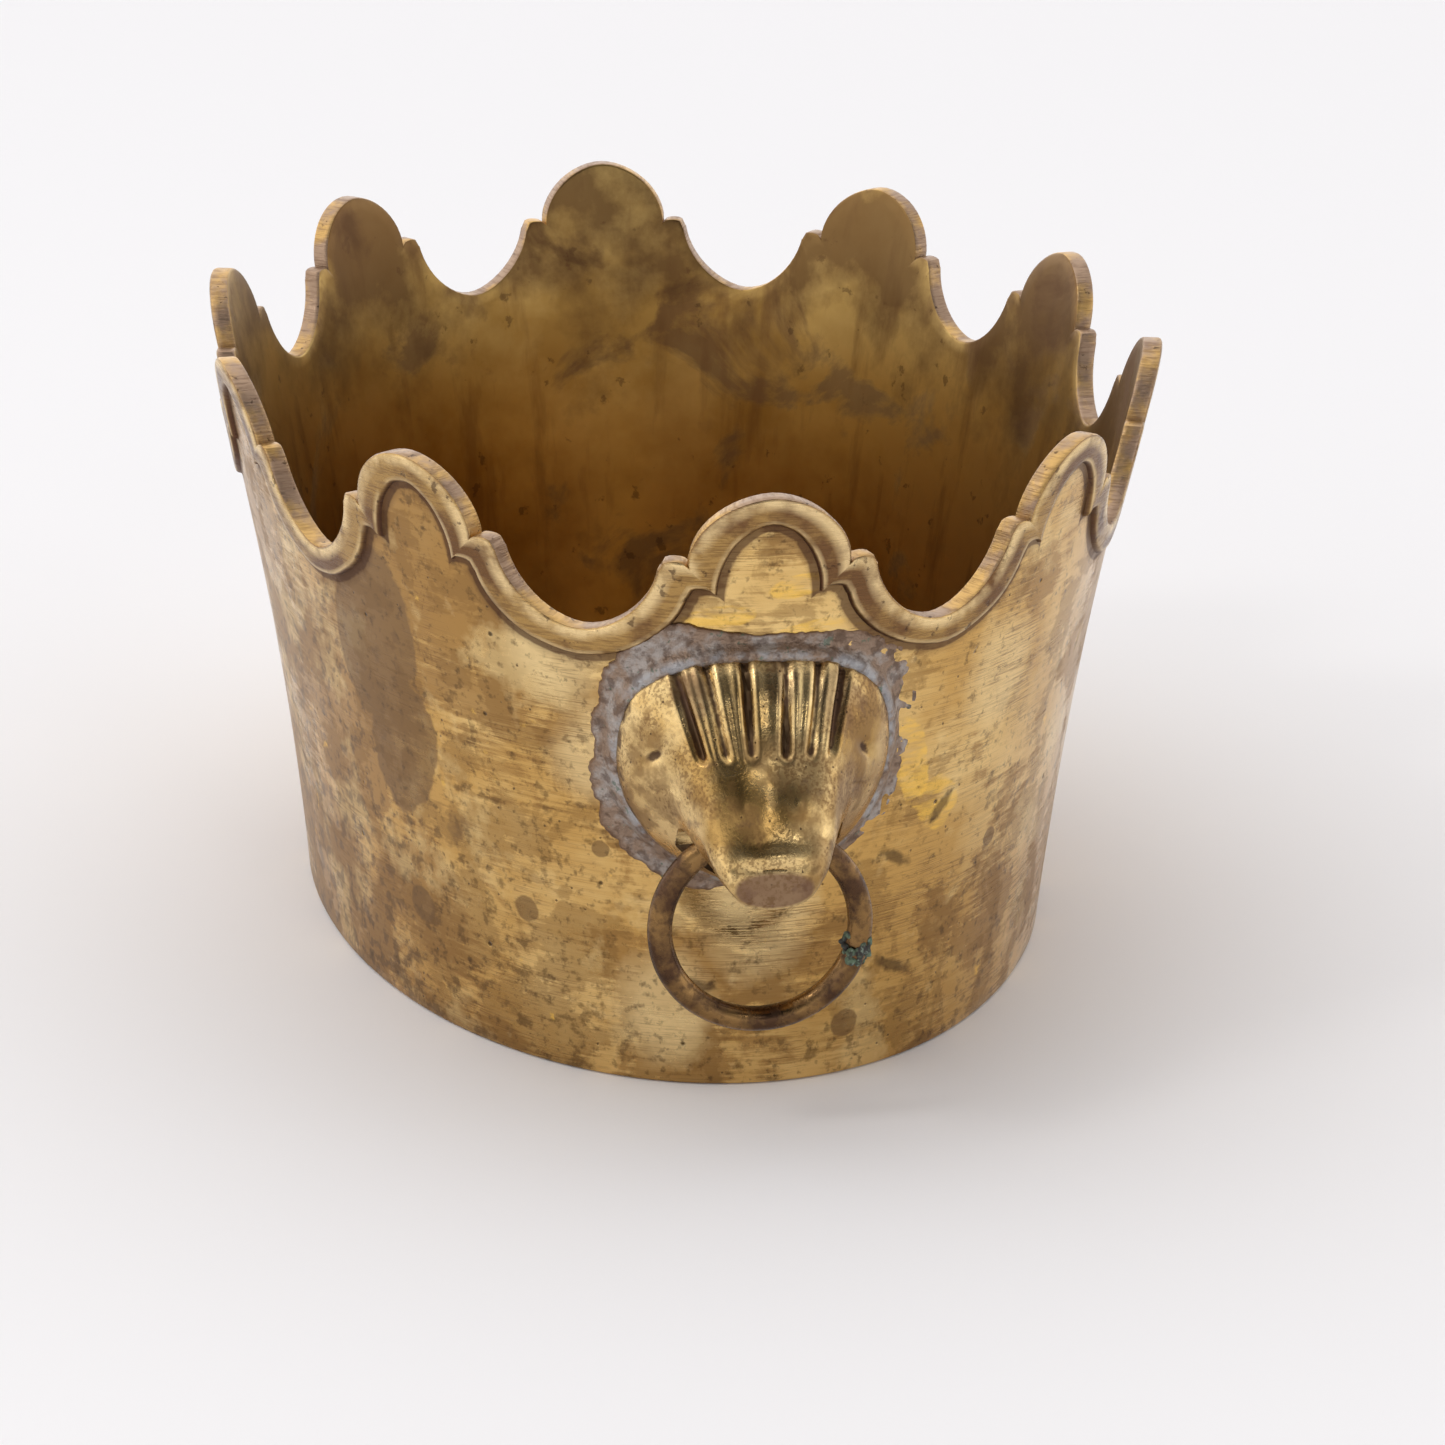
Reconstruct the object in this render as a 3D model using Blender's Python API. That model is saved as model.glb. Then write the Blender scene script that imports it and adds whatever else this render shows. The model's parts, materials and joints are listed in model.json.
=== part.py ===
"""Oval brass planter pot with a scalloped rim and a lion head with a swinging ring at each end.

Frame: +Z up, the foot stands on Z = 0, the long axis is Y, and the middle of the oval is the origin.
The pot is a cast wall with a let-in base plate. Two hollow lion heads are soldered to its ends,
and a wire ring hangs through the cheeks of each head and swings about the line through both cheeks.
"""
import math

import bmesh
import bpy
import numpy as np
from mathutils import Matrix, Vector

# Oval wall, in metres. Lengths run along Y and widths along X, over the outside.
HEIGHT = 0.0910
RIM_LENGTH = 0.2040
RIM_WIDTH = 0.1468
BASE_LENGTH = 0.1768
BASE_WIDTH = 0.1162
WALL = 0.0022
FLARE_CURVE = 0.5

# Scalloped rim: arched lobes with a small ledge on each side, and round valleys between them.
LOBES = 10
ARCH_HALF = 0.0114
LEDGE_WIDTH = 0.0040
LEDGE_DROP = 0.0097
VALLEY_DROP = 0.0207
ARCH_POWER = 1.81
VALLEY_POWER = 1.79
BORDER_WIDTH = 0.0041
BORDER_RAISE = 0.0009

# Base plate, let in at the foot of the wall, and the solder in the corner above it.
BASE_THICKNESS = 0.0020
SEAM_LEG = 0.0026

# Hollow lion head, whose middle line lies below the tips of the rim's lobes. Each station is a
# section of the outside, from the wall out to the nose: distance from the wall, half width, height
# of the widest line above the middle line, rise above it, drop below it, and two superellipse powers.
# At the wall a section leans as the wall does, and at the lean's distance from it it stands upright.
HEAD_DROP = 0.0390
HEAD_MIDDLE = HEIGHT - HEAD_DROP
HEAD_SHELL = 0.0016
HEAD_STATIONS = (
    (0.0000, 0.0188, 0.0005, 0.0151, 0.0186, 2.6, 2.0),
    (0.0020, 0.0188, 0.0005, 0.0151, 0.0186, 2.6, 2.0),
    (0.0045, 0.0162, 0.0000, 0.0143, 0.0176, 2.5, 1.8),
    (0.0072, 0.0126, -0.0012, 0.0130, 0.0160, 2.5, 1.6),
    (0.0098, 0.0108, -0.0030, 0.0108, 0.0138, 2.5, 1.9),
    (0.0124, 0.0098, -0.0052, 0.0090, 0.0108, 2.6, 2.2),
    (0.0150, 0.0093, -0.0074, 0.0068, 0.0079, 2.7, 2.4),
    (0.0176, 0.0083, -0.0092, 0.0050, 0.0059, 2.6, 2.4),
    (0.0192, 0.0063, -0.0105, 0.0033, 0.0041, 2.5, 2.4),
)
HEAD_LEAN = 0.0098
FRONT_HEAD_SHIFT = -0.0008
REAR_HEAD_SHIFT = 0.0

# Ring: its radius to the middle of the wire, its wire, how far it stands off the wall behind the
# head, how far apart it crosses the cheeks, and how far that line lies below the head's middle.
RING_RADIUS = 0.01375
RING_WIRE = 0.0035
RING_STAND_OFF = 0.0075
CHEEK_SPAN = 0.0182
PIVOT_DROP = 0.0115

# Cheek holes: the play round the wire, and how far each is cut in and out from the crossing.
HOLE_PLAY = 0.0011
HOLE_INWARD = 0.0055
HOLE_OUTWARD = 0.0021

# Solder round each head.
SOLDER_WIDTH = 0.0037
SOLDER_INNER_RISE = 0.0013
SOLDER_OUTER_RISE = 0.0004

# Gap between touching pieces, and how finely round shapes are divided.
GAP = 0.0003
PANEL_ROWS = 3
ARCH_STEPS = 5
VALLEY_STEPS = 5
LEAST_STEP = 0.0006
OVAL_SEGMENTS = 96
HEAD_SEGMENTS = 36
RING_SEGMENTS = 48
WIRE_SEGMENTS = 10
HOLE_SEGMENTS = 20
ARC_SAMPLES = 4000
WELD = 0.00001


def clear_scene():
    for obj in list(bpy.data.objects):
        bpy.data.objects.remove(obj, do_unlink=True)


def new_collection(name):
    collection = bpy.data.collections.new(name)
    bpy.context.scene.collection.children.link(collection)
    return collection


def metal(name, colour, roughness, metallic=1.0):
    material = bpy.data.materials.new(name)
    material.use_nodes = True
    shader = material.node_tree.nodes["Principled BSDF"]
    shader.inputs["Base Color"].default_value = (*colour, 1.0)
    shader.inputs["Roughness"].default_value = roughness
    shader.inputs["Metallic"].default_value = metallic
    material.diffuse_color = (*colour, 1.0)
    return material


def add_body(name, bm, collection, material):
    """Makes a finished body of the bmesh, with faces out and smooth shading between sharp edges."""
    bmesh.ops.recalc_face_normals(bm, faces=bm.faces[:])
    mesh = bpy.data.meshes.new(name)
    bm.to_mesh(mesh)
    bm.free()
    mesh.shade_smooth()
    mesh.set_sharp_from_angle(angle=math.radians(35))
    body = bpy.data.objects.new(name, mesh)
    collection.objects.link(body)
    body.data.materials.append(material)
    return body


def rolled(columns, rows, place, close_profile=False):
    """A grid of columns by rows, rolled into a ring: place(column, row) gives each corner's position.

    With close_profile the last row is the first one again, so the ring is a closed body.
    """
    bm = bmesh.new()
    bmesh.ops.create_grid(bm, x_segments=columns, y_segments=rows, size=1.0)
    for vert in bm.verts:
        column = round((vert.co.x + 1.0) / 2.0 * columns) % columns
        row = round((vert.co.y + 1.0) / 2.0 * rows)
        vert.co = place(column, row % rows if close_profile else row)
    bmesh.ops.remove_doubles(bm, verts=bm.verts[:], dist=WELD)
    return bm


# The oval, flared surface of the wall

def half_axes(z):
    """Half width and half length of the plain outer wall at height z."""
    u = z / HEIGHT
    flare = u + FLARE_CURVE * u * (u - 1.0)
    base_x, base_y = BASE_WIDTH / 2, BASE_LENGTH / 2
    rim_x, rim_y = RIM_WIDTH / 2 - BORDER_RAISE, RIM_LENGTH / 2 - BORDER_RAISE
    return base_x + (rim_x - base_x) * flare, base_y + (rim_y - base_y) * flare


def outward(angle, z):
    """Level direction out of the wall at this angle round the oval, which starts at the front, -Y."""
    half_x, half_y = half_axes(z)
    return Vector((half_y * math.sin(angle), -half_x * math.cos(angle), 0.0)).normalized()


def wall_point(angle, z, depth=0.0):
    """A point at a depth behind the outer face of the wall, measured level."""
    half_x, half_y = half_axes(z)
    face = Vector((half_x * math.sin(angle), -half_y * math.cos(angle), z))
    return face - outward(angle, z) * depth


def wall_front(x, z):
    """Y of the outer face of the wall at the front end, for a place x across and z up."""
    half_x, half_y = half_axes(z)
    return -half_y * math.sqrt(1.0 - (x / half_x) ** 2)


def angles_along_rim(stations):
    """Angle round the oval of each station, given as a length along the rim from the front."""
    half_x, half_y = half_axes(HEIGHT)
    angles = np.linspace(0.0, 2.0 * math.pi, ARC_SAMPLES)
    steps = np.hypot(np.diff(half_x * np.sin(angles)), np.diff(half_y * np.cos(angles)))
    lengths = np.concatenate(([0.0], np.cumsum(steps)))
    return np.interp(np.array(stations) * lengths[-1], lengths, angles), lengths[-1]


def superellipse(share, power):
    """Height of a superellipse of unit size at this share of its half width."""
    return max(0.0, 1.0 - min(1.0, share) ** power) ** (1.0 / power)


def rim_height(s, half_pitch, inset):
    """Height of the scalloped outline at s from a lobe's middle, set in from the edge by inset."""
    arch = ARCH_HALF - inset
    shoulder = ARCH_HALF + LEDGE_WIDTH - inset
    ledge = HEIGHT - LEDGE_DROP - inset
    if s <= arch:
        return ledge + LEDGE_DROP * superellipse(s / arch, ARCH_POWER)
    if s <= shoulder:
        return ledge
    valley = half_pitch - shoulder
    return ledge - (VALLEY_DROP - LEDGE_DROP) * superellipse((half_pitch - s) / valley, VALLEY_POWER)


def lobe_stations(half_pitch):
    """Places from a lobe's middle to the valley's, close together where an outline is steep."""
    places = [0.0, half_pitch]
    for inset in (0.0, BORDER_WIDTH):
        arch = ARCH_HALF - inset
        shoulder = ARCH_HALF + LEDGE_WIDTH - inset
        places += [arch, shoulder]
        for step in range(1, ARCH_STEPS):
            places.append(arch * math.sin(math.pi / 2 * step / ARCH_STEPS))
        for step in range(1, VALLEY_STEPS):
            places.append(half_pitch - (half_pitch - shoulder) * math.cos(math.pi / 2 * step / VALLEY_STEPS))
    kept = []
    for place in sorted(places):
        corner = any(abs(place - edge) < WELD for edge in (0.0, ARCH_HALF, half_pitch))
        if kept and place - kept[-1] < LEAST_STEP:
            if not corner:
                continue
            kept.pop()
        kept.append(place)
    return kept


def make_wall(collection, material):
    """Casts the wall: the sheet of the outer face is rolled round the oval, given its thickness,
    and its border is raised along the scalloped edge."""
    perimeter = angles_along_rim([0.0])[1]
    pitch = perimeter / LOBES
    half = lobe_stations(pitch / 2)
    lobe = half[:-1] + [pitch - s for s in reversed(half[1:])]
    stations = [(number * pitch + s) / perimeter for number in range(LOBES) for s in lobe]
    from_middle = [min(s, pitch - s) for _ in range(LOBES) for s in lobe]
    angles = angles_along_rim(stations)[0]
    panel_top = HEIGHT - VALLEY_DROP - BORDER_WIDTH - GAP
    rows = PANEL_ROWS + 2

    def place(column, row):
        if row <= PANEL_ROWS:
            z = panel_top * row / PANEL_ROWS
        else:
            z = rim_height(from_middle[column], pitch / 2, BORDER_WIDTH if row == rows - 1 else 0.0)
        return wall_point(angles[column], z)

    bm = rolled(len(angles), rows, place)
    bm.verts.ensure_lookup_table()
    border = [face for face in bm.faces if is_border(face, panel_top)]
    inner = bmesh.ops.extrude_face_region(bm, geom=bm.faces[:], use_keep_orig=True)
    push([v for v in inner["geom"] if isinstance(v, bmesh.types.BMVert)], -WALL)
    raised = bmesh.ops.extrude_face_region(bm, geom=border)
    push([v for v in raised["geom"] if isinstance(v, bmesh.types.BMVert)], BORDER_RAISE)
    bmesh.ops.delete(bm, geom=border, context="FACES")
    return add_body("pot_wall", bm, collection, material)


def is_border(face, panel_top):
    """True for the faces of the top row, whose corners all lie above the plain panel."""
    return min(vert.co.z for vert in face.verts) > panel_top + GAP / 2


def push(verts, distance):
    """Moves points of the wall level, outwards by the distance."""
    for vert in verts:
        half_x, half_y = half_axes(vert.co.z)
        angle = math.atan2(vert.co.x / half_x, -vert.co.y / half_y)
        vert.co += outward(angle, vert.co.z) * distance


def make_base(collection, material):
    """The plate fills the foot of the wall, so its edge leans with the wall's inner face."""
    bm = bmesh.new()
    bmesh.ops.create_cone(
        bm, cap_ends=True, segments=OVAL_SEGMENTS, radius1=1.0, radius2=1.0, depth=BASE_THICKNESS
    )
    for vert in bm.verts:
        z = vert.co.z + BASE_THICKNESS / 2
        vert.co = wall_point(math.atan2(vert.co.x, -vert.co.y), z, WALL + GAP)
    return add_body("base_plate", bm, collection, material)


def make_base_seam(collection, material):
    """Solder run round the inside corner: a three-sided bead on the plate and against the wall."""
    low = BASE_THICKNESS + GAP
    corner = (WALL + GAP, low), (WALL + GAP, low + SEAM_LEG), (WALL + GAP + SEAM_LEG, low)

    def place(column, row):
        depth, z = corner[row]
        return wall_point(2.0 * math.pi * column / OVAL_SEGMENTS, z, depth)

    bm = rolled(OVAL_SEGMENTS, len(corner), place, close_profile=True)
    return add_body("base_solder_seam", bm, collection, material)


# The lion heads, their solder and their rings, made for the front end and turned for the rear one

def head_outline(station, turn, grow=0.0):
    """X and Z of the head's outside at one station, at a turn round it, grown by a distance."""
    _, half_width, widest, rise, drop, power_up, power_down = station
    across, up = math.sin(turn), math.cos(turn)
    power = power_up if up > 0 else power_down
    height = (rise if up > 0 else drop) + grow
    x = (half_width + grow) * math.copysign(abs(across) ** (2.0 / power), across)
    z = height * math.copysign(abs(up) ** (2.0 / power), up)
    return x, HEAD_MIDDLE + widest + z


def head_body(shift):
    """The hollow head: one profile runs from the inside of the nose back to the wall, and out again."""
    middle = wall_front(shift, HEAD_MIDDLE)
    outside = [(station, 0.0, max(GAP, station[0])) for station in HEAD_STATIONS]
    inside = [(station, -HEAD_SHELL, station[0] - HEAD_SHELL) for station in HEAD_STATIONS[2:-1]]
    rim = HEAD_STATIONS[0], -HEAD_SHELL, GAP
    profile = [*reversed(inside), rim, *outside]

    def place(column, row):
        station, grow, stand_off = profile[row]
        x, z = head_outline(station, 2.0 * math.pi * column / HEAD_SEGMENTS, grow)
        lean = max(0.0, 1.0 - station[0] / HEAD_LEAN)
        y = middle + lean * (wall_front(x + shift, z) - middle) - stand_off
        return Vector((x + shift, y, z))

    bm = rolled(HEAD_SEGMENTS, len(profile) - 1, place)
    bmesh.ops.holes_fill(bm, edges=[edge for edge in bm.edges if edge.is_boundary])
    return bm


def ring_hang():
    """How far the ring's middle hangs below the line that it swings about."""
    return math.sqrt(RING_RADIUS ** 2 - (CHEEK_SPAN / 2) ** 2)


def hole_radius():
    """Room for the slanting wire to turn about the swing line within the thickness of the cheek."""
    hang = ring_hang()
    slanting_wire = RING_WIRE / 2 * RING_RADIUS / hang
    slant_in_shell = HEAD_SHELL / 2 * CHEEK_SPAN / 2 / hang
    return slanting_wire + slant_in_shell + HOLE_PLAY


def cheek_cutter(name, collection, pivot, side):
    """The round hole that the ring's wire passes through, in one cheek."""
    length = HOLE_INWARD + HOLE_OUTWARD
    radius = hole_radius()
    bm = bmesh.new()
    bmesh.ops.create_cone(
        bm, cap_ends=True, segments=HOLE_SEGMENTS, radius1=radius, radius2=radius, depth=length
    )
    bmesh.ops.rotate(bm, verts=bm.verts[:], matrix=Matrix.Rotation(math.pi / 2, 3, "Y"))
    across = CHEEK_SPAN / 2 + (HOLE_OUTWARD - HOLE_INWARD) / 2
    bmesh.ops.translate(bm, verts=bm.verts[:], vec=pivot + Vector((side * across, 0.0, 0.0)))
    mesh = bpy.data.meshes.new(name)
    bm.to_mesh(mesh)
    bm.free()
    cutter = bpy.data.objects.new(name, mesh)
    cutter.hide_render = True
    cutter.display_type = "WIRE"
    collection.objects.link(cutter)
    return cutter


def solder_body(shift):
    """A flat fillet on the wall all round the head, thick at the head and thin at its outer edge."""
    wall_station = HEAD_STATIONS[0]
    corner = (GAP, 0.0), (GAP, SOLDER_INNER_RISE), (SOLDER_WIDTH, SOLDER_OUTER_RISE), (SOLDER_WIDTH, 0.0)

    def place(column, row):
        grow, rise = corner[row]
        x, z = head_outline(wall_station, 2.0 * math.pi * column / HEAD_SEGMENTS, grow)
        return Vector((x + shift, wall_front(x + shift, z) - GAP - rise, z))

    return rolled(HEAD_SEGMENTS, len(corner), place, close_profile=True)


def turned(bm, half_turn):
    """Turns a front piece half round the pot's upright axis for the rear end."""
    if half_turn:
        bmesh.ops.rotate(bm, verts=bm.verts[:], matrix=Matrix.Rotation(math.pi, 3, "Z"))
    return bm


def make_head_set(end, shift, half_turn, collection, cutters, brass, solder, bronze):
    pivot_z = HEAD_MIDDLE - PIVOT_DROP
    pivot = Vector((shift, wall_front(shift, HEAD_MIDDLE) - RING_STAND_OFF, pivot_z))
    if half_turn:
        pivot = Matrix.Rotation(math.pi, 3, "Z") @ pivot
    head = add_body(f"{end}_lion_head", turned(head_body(shift), half_turn), collection, brass)
    for side, word in ((-1, "left"), (1, "right")):
        cutter = cheek_cutter(f"{end}_{word}_cheek_hole", cutters, pivot, side)
        hole = head.modifiers.new(f"{word} cheek hole", "BOOLEAN")
        hole.operation = "DIFFERENCE"
        hole.object = cutter
    add_body(f"{end}_head_solder", turned(solder_body(shift), half_turn), collection, solder)
    make_ring(f"{end}_ring", pivot, collection, bronze)


def make_ring(name, pivot, collection, material):
    """A round wire ring hanging level across the cheeks, with its origin on the line it swings about."""
    bpy.ops.mesh.primitive_torus_add(
        major_segments=RING_SEGMENTS, minor_segments=WIRE_SEGMENTS,
        major_radius=RING_RADIUS, minor_radius=RING_WIRE / 2
    )
    ring = bpy.context.object
    ring.name = name
    ring.data.name = name
    upright = Matrix.Rotation(math.pi / 2, 4, "X")
    ring.data.transform(Matrix.Translation((0.0, 0.0, -ring_hang())) @ upright)
    ring.data.shade_smooth()
    ring.data.materials.append(material)
    ring.location = pivot
    for owner in list(ring.users_collection):
        owner.objects.unlink(ring)
    collection.objects.link(ring)
    return ring


def main():
    clear_scene()
    pot = new_collection("brass_planter_pot")
    cutters = new_collection("cutters")
    make_wall(pot, metal("cast_brass_wall", (0.55, 0.40, 0.16), 0.32))
    make_base(pot, metal("brass_base_plate", (0.33, 0.21, 0.07), 0.45))
    make_base_seam(pot, metal("base_solder", (0.36, 0.34, 0.32), 0.55))
    head_brass = metal("lion_head_brass", (0.52, 0.36, 0.13), 0.28)
    head_solder = metal("head_solder", (0.33, 0.33, 0.35), 0.6)
    bronze = metal("tarnished_ring_wire", (0.16, 0.09, 0.05), 0.42)
    make_head_set("front", FRONT_HEAD_SHIFT, False, pot, cutters, head_brass, head_solder, bronze)
    make_head_set("rear", REAR_HEAD_SHIFT, True, pot, cutters, head_brass, head_solder, bronze)


main()
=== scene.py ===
# %% [markdown]
# # A scalloped brass planter pot with two lion heads
#
# The real pot is an oval casting with a wavy rim, a raised border along it, a base plate soldered in,
# and at each end a hollow cast lion head that carries a loose wire ring. This lesson dresses the packed
# model of that pot: each piece is modelled at its real place, given its worn metal, and hung on the
# body that carries it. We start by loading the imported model, because everything is placed by it.
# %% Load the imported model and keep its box
import json
import math

import bpy
import numpy as np
from mathutils import Matrix, Vector, noise


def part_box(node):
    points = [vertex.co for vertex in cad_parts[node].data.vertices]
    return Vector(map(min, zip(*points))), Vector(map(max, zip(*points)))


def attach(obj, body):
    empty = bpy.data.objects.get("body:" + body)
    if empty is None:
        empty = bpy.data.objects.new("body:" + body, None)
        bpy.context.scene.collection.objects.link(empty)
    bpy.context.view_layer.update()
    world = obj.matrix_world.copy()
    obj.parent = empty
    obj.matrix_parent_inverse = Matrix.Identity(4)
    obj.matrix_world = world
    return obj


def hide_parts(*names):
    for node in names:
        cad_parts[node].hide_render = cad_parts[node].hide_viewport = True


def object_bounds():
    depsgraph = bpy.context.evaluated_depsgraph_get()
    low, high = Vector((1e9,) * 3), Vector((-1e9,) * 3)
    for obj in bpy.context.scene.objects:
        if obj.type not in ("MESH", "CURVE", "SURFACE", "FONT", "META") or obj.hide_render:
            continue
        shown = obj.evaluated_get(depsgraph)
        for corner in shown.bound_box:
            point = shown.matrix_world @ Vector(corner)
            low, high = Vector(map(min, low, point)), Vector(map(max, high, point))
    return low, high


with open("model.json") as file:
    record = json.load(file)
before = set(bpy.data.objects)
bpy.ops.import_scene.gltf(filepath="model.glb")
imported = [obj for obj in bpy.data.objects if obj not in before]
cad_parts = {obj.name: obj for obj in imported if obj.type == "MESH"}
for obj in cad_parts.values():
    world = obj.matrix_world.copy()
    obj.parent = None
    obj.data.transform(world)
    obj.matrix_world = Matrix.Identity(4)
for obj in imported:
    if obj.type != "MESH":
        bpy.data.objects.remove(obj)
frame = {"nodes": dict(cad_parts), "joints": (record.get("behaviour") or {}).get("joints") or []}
cad_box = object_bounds()
MM = 0.001
print("model box in mm", [[round(c / MM, 1) for c in corner] for corner in cad_box])

# %% [markdown]
# ## The camera and the studio
#
# The pot stands on a plain white table top, seen from a little above and a little to its left with a
# long lens. A long lens could be had by moving close with a wide one, but the oval would then swell
# towards us, so the camera stands two thirds of a metre off. It looks down a shade over twenty degrees.
# %% Set up the camera
CAMERA_PLACE = Vector((-78.0, -585.9, 243.0)) * MM
CAMERA_TURN = math.radians(8.405)
CAMERA_TILT = math.radians(-20.512)
CAMERA_ROLL = math.radians(0.98)
CAMERA_LENS = 98.08

ahead = Vector((
    math.sin(CAMERA_TURN) * math.cos(CAMERA_TILT),
    math.cos(CAMERA_TURN) * math.cos(CAMERA_TILT),
    math.sin(CAMERA_TILT),
))
level = Vector((math.cos(CAMERA_TURN), -math.sin(CAMERA_TURN), 0.0))
above = level.cross(ahead)
right = math.cos(CAMERA_ROLL) * level + math.sin(CAMERA_ROLL) * above
up = math.cos(CAMERA_ROLL) * above - math.sin(CAMERA_ROLL) * level
camera = bpy.data.objects.new("studio_camera", bpy.data.cameras.new("studio_camera"))
bpy.context.scene.collection.objects.link(camera)
camera.data.lens = CAMERA_LENS
camera.data.sensor_width = 36.0
camera.data.clip_start = 0.01
camera_axes = Matrix((right, up, -ahead)).transposed().to_4x4()
camera.matrix_world = Matrix.Translation(CAMERA_PLACE) @ camera_axes
bpy.context.scene.camera = camera
print("camera stands", round(CAMERA_PLACE.length, 3), "m from the middle of the foot")

# %% [markdown]
# Brass has hardly any colour of its own: what we see is the room in it. The room is white all round and
# brightest over the back and low down, so the shadow in front is faint. Only the part of it above the
# camera is dim. So upright metal, which mirrors the table, looks pale, and metal that leans back looks
# deep and olive. Every colour is written as the hex value that a colour picker shows, and one small
# function adds a node. With both we can build the room.
# %% Build the white room
def srgb(code):
    """Turns an sRGB hex colour into the linear colour that a node takes."""
    parts = [int(code[place:place + 2], 16) / 255 for place in (1, 3, 5)]
    return (*[p / 12.92 if p <= 0.04045 else ((p + 0.055) / 1.055) ** 2.4 for p in parts], 1.0)


def add(tree, kind, inputs=None, stops=None, **settings):
    """Adds one node. Its inputs are numbers, colours, sockets, or nodes whose first output is meant."""
    node = tree.nodes.new("ShaderNode" + kind)
    for name, value in settings.items():
        setattr(node, name, value)
    if stops:
        ramp = node.color_ramp
        ramp.elements.remove(ramp.elements[1])
        ramp.elements[0].position, ramp.elements[0].color = stops[0]
        for place, colour in stops[1:]:
            ramp.elements.new(place).color = colour
    for name, value in (inputs or {}).items():
        if isinstance(value, bpy.types.Node):
            value = value.outputs[0]
        if isinstance(value, bpy.types.NodeSocket):
            tree.links.new(value, node.inputs[name])
        else:
            node.inputs[name].default_value = value
    return node


world = bpy.data.worlds.new("white_studio")
bpy.context.scene.world = world
world.use_nodes = True
air = world.node_tree
direction = add(air, "TexCoord").outputs["Generated"]
dark_side = add(air, "VectorMath", {0: direction, 1: (0.05, -0.72, 0.69)}, operation="DOT_PRODUCT")
white_room = add(air, "ValToRGB", {"Fac": dark_side.outputs["Value"]}, stops=[
    (0.00, srgb("#F6F6F8")), (0.66, srgb("#F6F6F8")), (0.84, srgb("#85858B")), (0.97, srgb("#2C2C32")),
])
back_side = add(air, "VectorMath", {0: direction, 1: (-0.30, 0.60, 0.74)}, operation="DOT_PRODUCT")
back_glow = add(air, "MapRange", {"Value": back_side.outputs["Value"], "From Min": 0.4, "From Max": 0.95,
                                  "To Max": 0.55}, interpolation_type="SMOOTHSTEP")
height_of_ray = add(air, "SeparateXYZ", {"Vector": direction}).outputs["Z"]
low_glow = add(air, "MapRange", {"Value": height_of_ray, "From Min": 0.55, "From Max": 0.12, "To Max": 0.55},
               interpolation_type="SMOOTHSTEP")
glow = add(air, "Math", {0: back_glow, 1: low_glow}, operation="ADD")
room = add(air, "MixRGB", {"Fac": 1.0, "Color1": white_room, "Color2": glow}, blend_type="ADD")
air.links.new(room.outputs[0], air.nodes["Background"].inputs["Color"])
air.nodes["Background"].inputs["Strength"].default_value = 1.02
print("the room is built of", len(air.nodes), "nodes")

# %% [markdown]
# A room alone gives soft light without a sparkle. A small soft box high on the left puts the sharp
# glints on the heads, and a weaker one in front opens their shadows.
# %% Hang the soft boxes
def soft_box(name, place, aim, size, watts):
    """Hangs a square soft box at a place, facing the point that it lights."""
    data = bpy.data.lights.new(name, "AREA")
    data.size = size
    data.energy = watts
    lamp = bpy.data.objects.new(name, data)
    bpy.context.scene.collection.objects.link(lamp)
    lamp.location = place
    lamp.rotation_euler = (Vector(aim) - Vector(place)).to_track_quat("-Z", "Y").to_euler()
    return lamp


soft_box("key_soft_box", (-0.80, -0.28, 0.92), (0.0, 0.0, 0.04), 0.22, 1.1)
soft_box("front_soft_box", (0.26, -0.98, 0.66), (0.0, -0.05, 0.04), 0.20, 0.5)
bpy.context.scene.view_settings.view_transform = "Standard"
print("two soft boxes hang in the room")

# %% [markdown]
# The table top is a very large disc, so that its edge never comes into view. It is a hair below the
# foot, because two faces in one place flicker.
# %% Lay the table top
def deselect_everything():
    """Leaves nothing selected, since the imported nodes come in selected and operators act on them."""
    if bpy.context.object and bpy.context.object.mode != "OBJECT":
        bpy.ops.object.mode_set(mode="OBJECT")
    bpy.ops.object.select_all(action="DESELECT")


def new_finish(name):
    """A new material, with its tree, its shader and the piece's own coordinates in metres."""
    material = bpy.data.materials.new(name)
    material.use_nodes = True
    tree = material.node_tree
    return material, tree, tree.nodes["Principled BSDF"], add(tree, "TexCoord").outputs["Object"]


TABLE_RADIUS, TABLE_DROP = 4.0, 0.06 * MM
deselect_everything()
bpy.ops.mesh.primitive_circle_add(
    vertices=96, radius=TABLE_RADIUS, fill_type="NGON", location=(0.0, 0.0, -TABLE_DROP))
table_top = bpy.context.object
table_top.name = "white_table_top"
bpy.ops.object.transform_apply(location=True, rotation=True, scale=True)
# Matt white laminate: very slightly warm, with no gloss to speak of.
paper, tree, shader, where = new_finish("matt_white_laminate")
shader.inputs["Base Color"].default_value = srgb("#F3F1F1")
shader.inputs["Roughness"].default_value = 0.85
shader.inputs["Specular IOR Level"].default_value = 0.15
table_top.data.materials.append(paper)
print("table top is", 2 * TABLE_RADIUS, "m across")

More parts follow.
